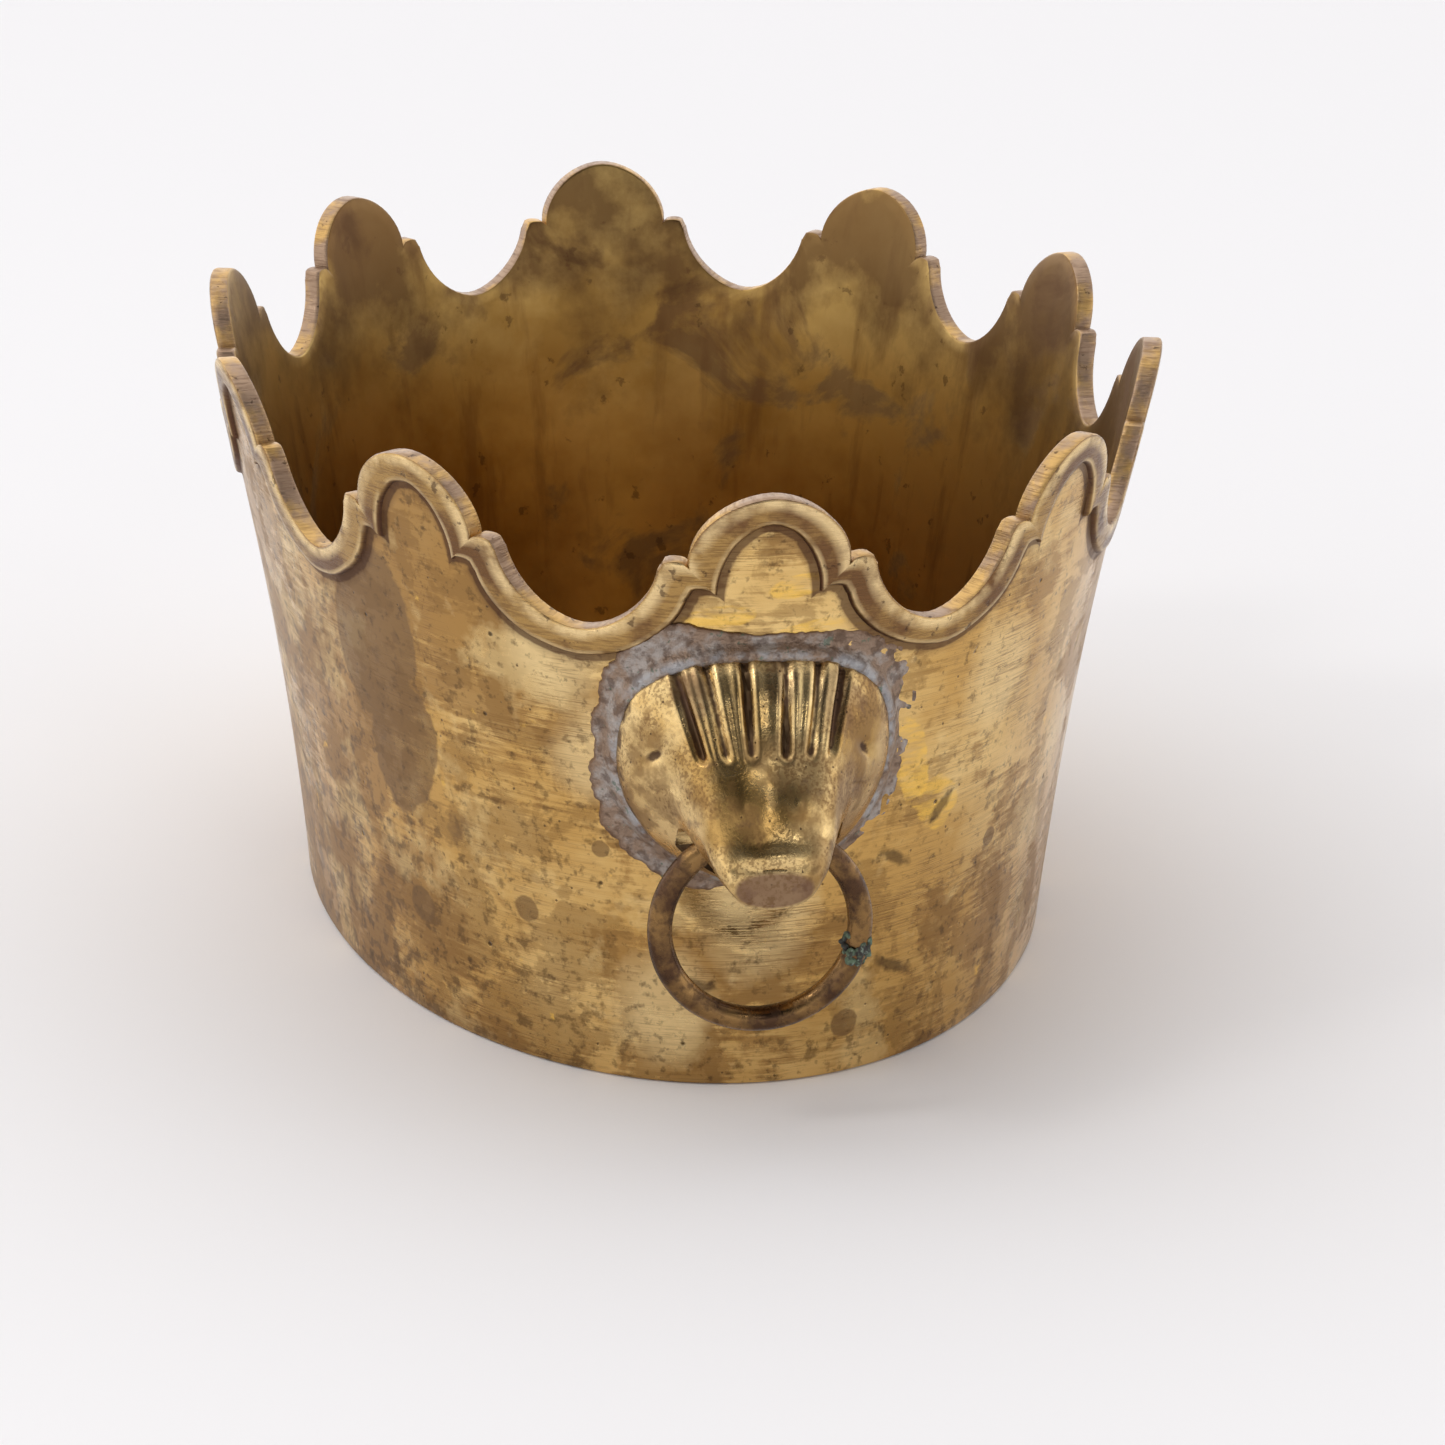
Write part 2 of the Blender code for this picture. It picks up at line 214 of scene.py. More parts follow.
# %% [markdown]
# ## The oval wall
#
# On the real pot the wall is one casting. It is an oval that flares a little more towards the rim, and
# its edge is cut into ten arches, each with a small ledge on both sides and a round valley between.
# It could be cut with a boolean, but the cut would leave ragged faces where the border has to follow
# the edge. So the wall is a flat grid rolled round the oval: its columns run up the wall, and its rows
# near the rim are lines at an even distance from the wavy edge. We first write down its shape.
# %% The shape of the oval and of one lobe of its edge
WALL = 2.2 * MM
GAP = 0.3 * MM
BORDER_RAISE = 0.9 * MM
BORDER_WIDTH = 4.1 * MM
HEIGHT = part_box("pot_wall")[1].z
RIM_HALF = Vector((73.4 * MM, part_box("pot_wall")[1].y)) - Vector((BORDER_RAISE, BORDER_RAISE))
FOOT_HALF = Vector((58.1, 88.4)) * MM
FLARE_CURVE = 0.5
LOBES = 10
ARCH_HALF = 11.4 * MM
ARCH_RISE = 9.7 * MM
ARCH_POWER = 1.81
LEDGE_WIDTH = 4.0 * MM
LEDGE_ROUNDING = 1.1 * MM
LEDGE_HUMP = 0.35 * MM
VALLEY_SINK = 11.0 * MM
VALLEY_POWER = 1.79
ARCH_STEPS, LEDGE_STEPS, VALLEY_STEPS = 13, 6, 13


def half_axes(z):
    """Half width and half length of the plain outer wall at heights z."""
    share = z / HEIGHT
    flare = share + FLARE_CURVE * share * (share - 1.0)
    return [FOOT_HALF[axis] + (RIM_HALF[axis] - FOOT_HALF[axis]) * flare for axis in (0, 1)]


def wall_places(angle, z, raised):
    """Points on the wall at angles round the oval from the front, raised level from its outer face."""
    half_x, half_y = half_axes(z)
    across, along = np.sin(angle), -np.cos(angle)
    level_out = np.stack([half_y * across, half_x * along], axis=-1)
    level_out /= np.linalg.norm(level_out, axis=-1, keepdims=True)
    flat = np.stack([half_x * across, half_y * along], axis=-1) + level_out * np.asarray(raised)[..., None]
    return np.concatenate([flat, np.broadcast_to(z, angle.shape)[..., None]], axis=-1)


def wall_front(x, z):
    """Y of the outer face at the front end."""
    half_x, half_y = half_axes(z)
    return -half_y * np.sqrt(1.0 - (x / half_x) ** 2)


def superellipse(share, power):
    """Height of a squarish quarter round of unit size at a share of its width."""
    return np.maximum(0.0, 1.0 - np.minimum(1.0, share) ** power) ** (1.0 / power)


turns = np.linspace(0.0, 2.0 * math.pi, 4001)
rim_half_x, rim_half_y = half_axes(HEIGHT)
rim_steps = np.hypot(np.diff(rim_half_x * np.sin(turns)), np.diff(rim_half_y * np.cos(turns)))
rim_lengths = np.concatenate(([0.0], np.cumsum(rim_steps)))
PERIMETER = rim_lengths[-1]
PITCH = PERIMETER / LOBES
print("rim is", round(PERIMETER / MM, 1), "mm round, and a lobe takes", round(PITCH / MM, 1), "mm")

# %% [markdown]
# One half of a lobe is walked from the tip of the arch to the bottom of the valley. Steps are close
# together where the edge runs steeply. The same walk is made at any inset from the edge, which gives
# the inner line of the border and all the rows of its rounded profile.
# %% Walk along one half lobe
def half_lobe(inset):
    """Places along the rim from the arch's middle, and heights, of the edge line set in by inset."""
    arch = ARCH_HALF - inset
    ledge = HEIGHT - ARCH_RISE - inset
    valley = PITCH / 2 - arch - LEDGE_WIDTH
    quarter = np.linspace(0.0, math.pi / 2, ARCH_STEPS + 1)
    arch_places = arch * np.sin(quarter)
    arch_heights = ledge + ARCH_RISE * superellipse(np.sin(quarter), ARCH_POWER)
    shelf = np.linspace(0.0, LEDGE_WIDTH, LEDGE_STEPS + 1)[1:]
    to_corner = np.clip(LEDGE_ROUNDING - (LEDGE_WIDTH - shelf), 0.0, LEDGE_ROUNDING)
    rounding = LEDGE_ROUNDING - np.sqrt(LEDGE_ROUNDING ** 2 - to_corner ** 2)
    hump = LEDGE_HUMP * np.sin(math.pi * shelf / LEDGE_WIDTH)
    quarter = np.linspace(0.0, math.pi / 2, VALLEY_STEPS + 1)[1:]
    share = np.cos(quarter)
    hollow = VALLEY_SINK * superellipse(share, VALLEY_POWER)
    valley_heights = np.minimum(ledge - LEDGE_ROUNDING, ledge - hollow)
    places = np.concatenate([arch_places, arch + shelf, PITCH / 2 - valley * share])
    heights = np.concatenate([arch_heights, ledge - rounding + hump, valley_heights])
    heights[ARCH_STEPS] -= LEDGE_HUMP
    return places, heights


def edge_line(inset):
    """The same line all round the rim: lengths along it from the front, and heights."""
    places, heights = half_lobe(inset)
    one_places = np.concatenate([places, PITCH - places[-2:0:-1]])
    one_heights = np.concatenate([heights, heights[-2:0:-1]])
    all_places = (np.arange(LOBES)[:, None] * PITCH + one_places).ravel()
    return all_places, np.tile(one_heights, LOBES)


COLUMNS = len(edge_line(0.0)[0])
print(COLUMNS, "columns round the wall")

# %% [markdown]
# A person filed this rim, so no two lobes are quite alike: the edge wanders by a few tenths of a
# millimetre, and the sheet has shallow dents. Smooth noise gives both. It only ever takes metal away,
# so the wall stays within its real size. All rows of the wall go into one list, from the foot up the
# outside, over the border and the edge, and down the inside.
# %% Place the rows of the wall
def round_noise(angles, radius, seed):
    """Smooth noise from -1 to 1 that meets itself after one turn; a larger radius makes it finer."""
    return np.array([noise.noise((radius * math.cos(a), radius * math.sin(a), seed)) for a in angles])


def wander(places, scale, seed):
    """The same noise, by the length along the rim."""
    return round_noise(places / PERIMETER * 2.0 * math.pi, PERIMETER / (2.0 * math.pi) * scale, seed)


def dents(points):
    """How deep the shallow dents of the wall are at these points, from 0 to about 0.35 mm."""
    return np.array([
        0.16 * MM * (1.0 + noise.noise(Vector(p) * 26.0)) + 0.03 * MM * (1.0 + noise.noise(Vector(p) * 90.0))
        for p in points
    ])


PANEL_ROWS, INSIDE_ROWS = 40, 22
FOOT_EDGE = 0.5 * MM
# The foot's rounded edge: height and how far it is raised, in millimetres, outside and inside.
FOOT_OUTSIDE = ((0.0, -0.6), (0.15, -0.15), (0.5, 0.0))
FOOT_INSIDE = ((0.5, -2.2), (0.15, -2.05), (0.0, -1.6))
# The panel's top row stands this far under the border.
UNDER_BORDER = 1.2 * MM
wall_rows = []


def add_row(places, heights, raised, finish):
    """Puts one row round the wall on the list."""
    wall_rows.append((places, heights, np.full(COLUMNS, raised), finish))


OUTSIDE, BORDER, EDGE, INSIDE = range(4)
panel_places, panel_tops = edge_line(BORDER_WIDTH + UNDER_BORDER)
edge_places = edge_line(0.0)[0]
worn_down = 0.22 * MM * (1.0 + wander(edge_places, 90.0, 3.0))
step_wander = 0.28 * MM * wander(edge_places, 260.0, 8.0)
for height, raised in FOOT_OUTSIDE:
    add_row(panel_places, np.full(COLUMNS, height * MM), raised * MM, OUTSIDE)
for row in range(1, PANEL_ROWS):
    add_row(panel_places, FOOT_EDGE + (panel_tops - worn_down - FOOT_EDGE) * row / PANEL_ROWS, 0.0, OUTSIDE)
# Each row of the border's profile: its inset from the edge and how far it is raised, in millimetres,
# and the finish above it.
border_profile = (
    (5.3, 0.0, OUTSIDE), (4.8, 0.0, OUTSIDE), (4.4, 0.0, OUTSIDE),
    (4.18, 0.08, BORDER), (4.1, 0.34, BORDER), (4.0, 0.64, BORDER), (3.75, 0.83, BORDER),
    (3.2, 0.89, BORDER), (2.1, 0.90, BORDER), (1.0, 0.87, BORDER), (0.45, 0.8, BORDER),
    (0.14, 0.58, EDGE), (0.0, 0.22, EDGE), (0.0, -0.6, EDGE), (0.0, -1.4, EDGE), (0.0, -1.9, EDGE),
    (0.1, -2.1, INSIDE), (0.4, -2.2, INSIDE), (2.1, -2.2, INSIDE), (5.0, -2.2, INSIDE),
)
for inset, raised, finish in border_profile:
    places, heights = edge_line(inset * MM)
    wandering = step_wander * min(1.0, inset / 4.1)
    add_row(places, heights - worn_down - wandering * (raised > -1.0), raised * MM, finish)
for row in range(INSIDE_ROWS - 1, 0, -1):
    add_row(panel_places, FOOT_EDGE + (panel_tops - worn_down - FOOT_EDGE) * row / INSIDE_ROWS, -WALL, INSIDE)
for height, raised in FOOT_INSIDE:
    add_row(panel_places, np.full(COLUMNS, height * MM), raised * MM, INSIDE)
print(len(wall_rows), "rows in the wall's closed profile")

# %% [markdown]
# A flat grid has just the corners that we need, in columns and rows. Every corner is sent to its place
# on the wall, the grid's first and last lines meet, and a weld closes both seams. The same two helpers
# roll the heads, the solder and the bead inside.
# %% Roll the grid into the wall
WELD_REACH = 0.004 * MM


def corner_values(data, name, width=1):
    """Reads one value of every corner of a mesh, such as its place, into an array."""
    values = np.empty(len(data) * width)
    data.foreach_get(name, values)
    return values.reshape(-1, width) if width > 1 else values


def rolled_grid(name, columns, rows, place, closed_profile=True):
    """Adds a flat grid and gives every corner its place; its seams are welded afterwards."""
    deselect_everything()
    bpy.ops.mesh.primitive_grid_add(x_subdivisions=columns, y_subdivisions=rows, size=2.0)
    piece = bpy.context.object
    piece.name = piece.data.name = name
    flat = corner_values(piece.data.vertices, "co", 3)
    column = np.rint((flat[:, 0] + 1.0) / 2.0 * columns).astype(int) % columns
    row = np.rint((flat[:, 1] + 1.0) / 2.0 * rows).astype(int)
    if closed_profile:
        row %= rows
    piece.data.vertices.foreach_set("co", place(column, row).ravel())
    return piece


def weld_and_smooth(piece, angle=38.0):
    """Merges the doubled corners, turns the faces outwards, and shades smooth between sharp edges."""
    deselect_everything()
    bpy.context.view_layer.objects.active = piece
    piece.select_set(True)
    bpy.ops.object.mode_set(mode="EDIT")
    bpy.ops.mesh.select_all(action="SELECT")
    bpy.ops.mesh.remove_doubles(threshold=WELD_REACH)
    bpy.ops.mesh.normals_make_consistent(inside=False)
    bpy.ops.object.mode_set(mode="OBJECT")
    bpy.ops.object.shade_smooth_by_angle(angle=math.radians(angle))
    piece.data.update()


row_places = np.array([row[0] for row in wall_rows])
row_heights = np.array([row[1] for row in wall_rows])
row_raised = np.array([row[2] for row in wall_rows])


def place_on_wall(column, row):
    """Where the wall's corners go, with the dents pressed in."""
    angle = np.interp(row_places[row, column], rim_lengths, turns)
    z = row_heights[row, column]
    raised = row_raised[row, column]
    return wall_places(angle, z, raised - dents(wall_places(angle, z, np.zeros(len(z)))))


pot_wall = rolled_grid("pot_wall_cast", COLUMNS, len(wall_rows), place_on_wall)
row_finish = np.array([row[3] for row in wall_rows])
face_finish = np.repeat(row_finish, COLUMNS)
face_finish = face_finish[:len(pot_wall.data.polygons)].astype(np.int32)
pot_wall.data.polygons.foreach_set("material_index", face_finish)
print("wall has", len(pot_wall.data.polygons), "faces before welding")

# %% [markdown]
# Dirt and old polish gather where a rag can't reach: in the corner under the border's step. Hands rub
# the border's own corners bright. The wall carries a number for each of the two at every corner of its
# mesh, and its finishes read them. Then the seams are welded, and the faces are shaded smooth with
# sharp breaks only where the metal really turns a corner.
# %% Mark the dirty and the rubbed corners of the border, and weld the wall
inset_of_row = np.full(len(wall_rows), 99.0)
first_border_row = len(FOOT_OUTSIDE) + PANEL_ROWS - 1
for number, (inset, raised, finish) in enumerate(border_profile):
    if finish in (OUTSIDE, BORDER) and raised >= 0.0:
        inset_of_row[first_border_row + number] = inset
STEP_INSET = 4.2
dirt_reach = np.where(inset_of_row < 4.1, 0.5, 1.3)
crease_of_row = np.clip(1.0 - np.abs(inset_of_row - STEP_INSET) / dirt_reach, 0.0, 1.0)
wall_vertex_rows = np.repeat(np.arange(len(wall_rows) + 1) % len(wall_rows), COLUMNS + 1)
rub_of_row = np.isin(inset_of_row, (0.45, 1.0, 3.75)) * 1.0


def mark(piece, name, values):
    """Gives every corner of a piece a number that its finish can read by name."""
    attribute = piece.data.attributes.new(name, "FLOAT", "POINT")
    attribute.data.foreach_set("value", values.astype(np.float32))


mark(pot_wall, "crease", crease_of_row[wall_vertex_rows])
mark(pot_wall, "rub", rub_of_row[wall_vertex_rows])
weld_and_smooth(pot_wall)
print("wall is closed:", len(pot_wall.data.vertices), "corners,", len(pot_wall.data.polygons), "faces")

# %% [markdown]
# ## The lion heads
#
# Each head is a thin hollow casting. Its cheeks lie on the wall, a blunt square snout grows out of them
# towards us, and six grooves fan down the forehead to the brow, with round ridges between. It could be
# carved from a block of clay-like lumps, but the outline round the snout has to stay crisp. So it is
# lofted: sections from the wall out to the nose, rolled into a mask, which is then chased in code.
# %% The sections of a head
MIDDLE_OVER_RING = 6.31 * MM
HEAD_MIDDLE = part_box("front_ring")[1].z + MIDDLE_OVER_RING
HEAD_SHELL = 1.6
HEAD_LEAN = 9.8 * MM
NOSE_OUT = 19.2
# Distance from the wall, half width, height of the widest line above the middle, rise, drop, and the
# two powers that say how square the upper and lower halves are, from the wall out to the nose.
HEAD_SECTIONS = np.array((
    (0.0, 18.8, 0.5, 15.1, 18.6, 2.6, 2.0), (2.0, 18.8, 0.5, 15.1, 18.6, 2.6, 2.0),
    (4.5, 16.2, 0.0, 14.3, 17.6, 2.5, 1.8), (7.2, 12.6, -1.2, 13.0, 16.0, 2.6, 1.6),
    (9.8, 10.8, -3.0, 10.8, 13.4, 3.0, 1.8), (12.4, 9.6, -5.0, 8.8, 10.2, 3.4, 1.8),
    (15.0, 8.6, -6.9, 6.2, 7.7, 3.0, 1.65), (17.6, 6.7, -9.8, 4.2, 5.2, 2.6, 1.8),
    (NOSE_OUT, 5.5, -11.6, 2.6, 3.0, 2.2, 2.1),
))
FINE_OUT = np.linspace(0.0, NOSE_OUT, 385)


def softened(values, width=17):
    """Runs a short average along a fine list, twice, so that no section makes a corner."""
    for _ in range(2):
        padded = np.concatenate([np.full(width, 2 * values[0]) - values[width:0:-1], values,
                                 np.full(width, 2 * values[-1]) - values[-2:-width - 2:-1]])
        values = np.convolve(padded, np.ones(2 * width + 1) / (2 * width + 1), "valid")
    return values


fine_sections = [softened(np.interp(FINE_OUT, HEAD_SECTIONS[:, 0], HEAD_SECTIONS[:, k])) for k in range(1, 7)]


def head_section(out, turn, grow=0.0):
    """X and height above the middle, in millimetres, at a distance out from the wall and a turn."""
    section = [np.interp(out, FINE_OUT, values) for values in fine_sections]
    half_width, widest, rise, drop, power_up, power_down = section
    across, upward = np.sin(turn), np.cos(turn)
    power = np.where(upward > 0, power_up, power_down)
    tall = np.where(upward > 0, rise, drop) + grow
    x = (half_width + grow) * np.sign(across) * np.abs(across) ** (2.0 / power)
    return x, widest + tall * np.sign(upward) * np.abs(upward) ** (2.0 / power)


def head_places(out, turn, grow, stand_off):
    """Points in metres; near the wall a section leans as the wall does."""
    x, z = head_section(out, turn, grow)
    x, z = x * MM, HEAD_MIDDLE + z * MM
    middle = wall_front(0.0, HEAD_MIDDLE)
    lean = np.clip(1.0 - out * MM / HEAD_LEAN, 0.0, 1.0)
    y = middle + lean * (wall_front(x, z) - middle) - stand_off * MM
    return np.stack([x, y, z], axis=-1)


print("a head stands out", NOSE_OUT, "mm, its middle", round(HEAD_MIDDLE / MM, 1), "mm up")

# %% [markdown]
# The mask is rolled from the inside of the nose, back along the inside to the wall, round its rim, and
# out again to the flat end of the nose. Each row gives a distance out, how much the section grows or
# shrinks, and how far it stands off. At both ends all corners of a row meet in one point, so the mask
# is closed there. The turn round the head is not even: more columns go to the fluted forehead.
# %% Roll a mask
HEAD_COLUMNS = 224
mask_rows = [(17.0, 0.0, 16.9, 0.0), (17.0, -HEAD_SHELL, 16.9, 0.5), (16.9, -HEAD_SHELL, 16.8, 1.0)]
mask_rows += [(out, -HEAD_SHELL, max(0.3, out - 1.3), 1.0) for out in np.linspace(16.0, 3.0, 14)]
mask_rows += [(1.0, -HEAD_SHELL, 0.3, 1.0), (0.4, -1.5, 0.2, 1.0), (0.2, -0.4, 0.15, 1.0)]
mask_rows += [(0.2, 0.0, 0.3, 1.0)]
first_outer_row = len(mask_rows)
mask_rows += [(out, 0.0, out, 1.0) for out in np.linspace(0.5, 18.5, 92)]
# The nose: its edge turns over, then the flat end closes to a point.
mask_rows += [(18.85, -0.04, 18.85, 1.0), (19.02, -0.16, 19.0, 1.0), (19.12, -0.34, 19.1, 1.0),
              (19.17, -0.55, 19.16, 1.0)]
mask_rows += [(NOSE_OUT, -0.8, NOSE_OUT, share) for share in (1.0, 0.85, 0.65, 0.4, 0.15, 0.0)]
mask_rows = np.array(mask_rows)
even = np.linspace(0.0, 2.0 * math.pi, HEAD_COLUMNS, endpoint=False)
column_turns = even - 0.32 * np.sin(even)


def place_on_mask(column, row):
    """Where the mask's corners go; a share under one draws a row in towards its own middle."""
    out, grow, stand_off, share = mask_rows[row].T
    points = head_places(out, column_turns[column], grow, stand_off)
    top = head_places(out, np.zeros(len(row)), grow, stand_off)
    chin = head_places(out, np.full(len(row), math.pi), grow, stand_off)
    middle = (top + chin) / 2.0
    return middle + (points - middle) * share[:, None]


lion_mask = rolled_grid(
    "front_lion_mask", HEAD_COLUMNS, len(mask_rows) - 1, place_on_mask, closed_profile=False)
vertex_rows = np.repeat(np.arange(len(mask_rows)), HEAD_COLUMNS + 1)
mark(lion_mask, "out", mask_rows[vertex_rows, 2])
mark(lion_mask, "outer", vertex_rows >= first_outer_row)
weld_and_smooth(lion_mask)
print("unchased mask has", len(lion_mask.data.polygons), "faces")

# %% [markdown]
# Now the mask is chased. Six grooves run from the hair line to the brow and close up towards it, the
# bridge of the nose swells above a sharp crease, a whisker pad swells on each side, and an eye is a
# slanted hollow in each cheek. Each feature is a smooth bump or groove pushed along the surface.
# %% Chase the features into the mask
def smooth_step(low, high, value):
    """Runs from 0 to 1 between low and high, level at both ends."""
    share = np.clip((value - low) / (high - low), 0.0, 1.0)
    return share * share * (3.0 - 2.0 * share)


def bump(x, z, at, size, turn=0.0):
    """A smooth swelling of unit height at a place across and up, with a half width and half height."""
    dx, dz = x - at[0], z - at[1]
    along = dx * math.cos(turn) + dz * math.sin(turn)
    over = dz * math.cos(turn) - dx * math.sin(turn)
    return np.exp(-(along / size[0]) ** 2 - (over / size[1]) ** 2)


HAIR_LINE, BROW = 14.6, 3.6
GROOVES_AT_HAIR = np.array((-11.8, -7.6, -2.4, 3.2, 7.9, 11.8))
GROOVES_AT_BROW = np.array((-8.8, -5.5, -2.2, 2.3, 5.6, 8.6))


def flutes(x, z, out):
    """Depth of the fluting: narrow grooves, cut unevenly deep, with full round ridges between."""
    share = np.clip((HAIR_LINE - z) / (HAIR_LINE - BROW), 0.0, 1.0)
    grooves = GROOVES_AT_HAIR[:, None] + (GROOVES_AT_BROW - GROOVES_AT_HAIR)[:, None] * share
    nearest, which = np.min(np.abs(x - grooves), axis=0), np.argmin(np.abs(x - grooves), axis=0)
    pitch = 4.6 - 1.1 * share
    crown = 0.38 * (1.0 - np.clip(nearest / (pitch / 2), 0.0, 1.0) ** 2)
    reach = 1.0 - smooth_step(0.3, 2.6, np.abs(x) - np.maximum(np.abs(grooves[0]), np.abs(grooves[-1])))
    over_brow = z - 0.38 * (out - 12.4)
    shown = smooth_step(BROW - 0.2, BROW + 1.9, over_brow) * smooth_step(0.9, 2.6, out) * (out < 13.5)
    depth = 1.15 + 0.28 * np.sin(0.3 * z + 2.1 * which)
    return (crown - depth * np.exp(-(nearest / 0.76) ** 2)) * reach * shown


def features(x, z, out):
    """How far each point of the outer face moves out, in millimetres."""
    on_snout = smooth_step(8.0, 12.0, out)
    moved = flutes(x, z, out)
    # The end of the bridge, the sharp crease under it, and the hollow between the brows.
    moved += 0.50 * bump(x, z, (0.0, -7.3), (4.6, 1.1)) * smooth_step(16.0, 17.4, out)
    moved -= 0.34 * bump(x, z, (0.3, -8.75), (5.0, 0.34)) * smooth_step(17.4, 18.4, out)
    moved -= 0.30 * bump(x, z, (0.0, 0.6), (2.2, 3.4)) * on_snout
    for side in (-1, 1):
        # A whisker pad, a swelling beside the bridge, the eye, and a mark under it.
        moved += 0.40 * bump(x, z, (side * 6.6, -9.2), (1.8, 2.4)) * smooth_step(12.5, 15.5, out)
        moved += 0.45 * bump(x, z, (side * 3.9, -1.4), (1.9, 1.9)) * on_snout
        moved -= 0.75 * bump(x, z, (side * 14.6, 2.2), (1.7, 0.65), -side * 0.9) * (1.0 - on_snout)
        moved -= 0.28 * bump(x, z, (side * 13.6, -2.4), (3.4, 0.45), -side * 0.55) * (1.0 - on_snout)
    return moved


points = corner_values(lion_mask.data.vertices, "co", 3)
normals = corner_values(lion_mask.data.vertices, "normal", 3)
out = corner_values(lion_mask.data.attributes["out"].data, "value")
outer = corner_values(lion_mask.data.attributes["outer"].data, "value")
x_mm, z_mm = points[:, 0] / MM, (points[:, 2] - HEAD_MIDDLE) / MM
moved = features(x_mm, z_mm, out)
uneven = np.array([
    0.13 * noise.noise(Vector(p) * 200.0) + 0.012 * noise.noise(Vector(p) * 700.0) for p in points
])
moved = (moved + uneven) * outer * smooth_step(0.4, 1.6, out)
chased = points + normals * moved[:, None] * MM
chased[:, 1] = np.maximum(chased[:, 1], cad_box[0].y)
lion_mask.data.vertices.foreach_set("co", chased.ravel())
mark(lion_mask, "groove", np.clip(-moved / 0.9, 0.0, 1.0) * outer)
lion_mask.data.update()
print("deepest groove", round(float(-moved.min()), 2), "mm")
print("highest swelling", round(float(moved.max()), 2), "mm")

# %% [markdown]
# The ring's wire goes through a worn round hole in each cheek. The holes are drilled with a boolean:
# a cylinder is laid along the line that the ring swings about, and taken away from the mask.
# %% Drill the cheek holes
joints = {joint["name"]: joint for joint in frame["joints"]}
swing_line = Vector(joints["front_ring_swing"]["pos_m"])
head_shift = swing_line.x
CHEEK_HALF_SPAN = 9.1 * MM
HOLE_RADIUS = 4.05 * MM
HOLE_INWARD, HOLE_OUTWARD = 5.5 * MM, 2.1 * MM
for side, word in ((-1, "left"), (1, "right")):
    deselect_everything()
    bpy.ops.mesh.primitive_cylinder_add(
        vertices=48, radius=HOLE_RADIUS, depth=HOLE_INWARD + HOLE_OUTWARD,
        location=(side * (CHEEK_HALF_SPAN + (HOLE_OUTWARD - HOLE_INWARD) / 2), *swing_line.yz),
        rotation=(0.0, math.pi / 2, 0.0),
    )
    drill = bpy.context.object
    hole = lion_mask.modifiers.new(word + " cheek hole", "BOOLEAN")
    hole.operation = "DIFFERENCE"
    hole.object = drill
    deselect_everything()
    bpy.context.view_layer.objects.active = lion_mask
    lion_mask.select_set(True)
    bpy.ops.object.modifier_apply(modifier=hole.name)
    bpy.data.objects.remove(drill, do_unlink=True)
# The cut leaves needle faces round the holes, and the smallest of them are dissolved.
NEEDLE = 0.01 * MM
bpy.ops.object.mode_set(mode="EDIT")
bpy.ops.mesh.select_all(action="SELECT")
bpy.ops.mesh.dissolve_degenerate(threshold=NEEDLE)
bpy.ops.object.mode_set(mode="OBJECT")
weld_and_smooth(lion_mask, 50.0)
print("holes of", round(2 * HOLE_RADIUS / MM, 1), "mm in both cheeks")

# %% [markdown]
# ## The solder round a head
#
# The head was stuck on with soft solder. It stands as a smooth round bead against the cheeks, and ran
# out from there over the wall in a thin crust with a ragged edge. The crust's width is given for twelve
# turns round the head, and noise makes its edge ragged and its top lumpy. The bead climbs a little way
# up the mask, and the crust dips into the wall at its edge, so no gap shows.
# %% Run the solder
SOLDER_WIDTHS = (0.9, 2.4, 4.6, 2.0, 1.9, 0.6, 1.0, 2.4, 3.0, 0.9, 2.0, 4.4)
SOLDER_COLUMNS = 360
# Across the run: distance from the head over the bead in millimetres, share of the crust's width, and
# height as a share of the bead and of the thin crust.
SOLDER_PROFILE = (
    (-0.7, 0.0, 0.8, 0.0), (-0.35, 0.0, 1.0, 0.0), (0.0, 0.0, 1.0, 0.2), (0.4, 0.0, 0.94, 0.4),
    (0.8, 0.0, 0.78, 0.6), (1.15, 0.0, 0.5, 0.8), (1.4, 0.0, 0.22, 1.0), (1.6, 0.04, 0.05, 1.0),
    (1.6, 0.16, 0.0, 1.0), (1.6, 0.3, 0.0, 1.0), (1.6, 0.45, 0.0, 1.0), (1.6, 0.6, 0.0, 1.0),
    (1.6, 0.74, 0.0, 1.0), (1.6, 0.86, 0.0, 0.95), (1.6, 0.95, 0.0, 0.7), (1.6, 1.0, 0.0, 0.2),
    (1.6, 1.0, 0.0, -1.4),
    (1.0, 0.4, 0.0, -1.8), (-0.5, 0.0, 0.0, -1.4),
)
SOLDER_BEAD, SOLDER_CRUST = 2.3, 0.34
profile = np.array(SOLDER_PROFILE)


def solder_width(turn, seed):
    """Width of the crust in millimetres at a turn round the head, with its ragged edge."""
    steady = np.interp(turn, np.linspace(0.0, 2.0 * math.pi, 13), (*SOLDER_WIDTHS, SOLDER_WIDTHS[0]))
    ragged = 0.9 * round_noise(turn, 3.2, seed) + 0.6 * round_noise(turn, 9.0, seed)
    ragged += 0.4 * round_noise(turn, 26.0, seed)
    return np.maximum(0.25, steady + ragged)


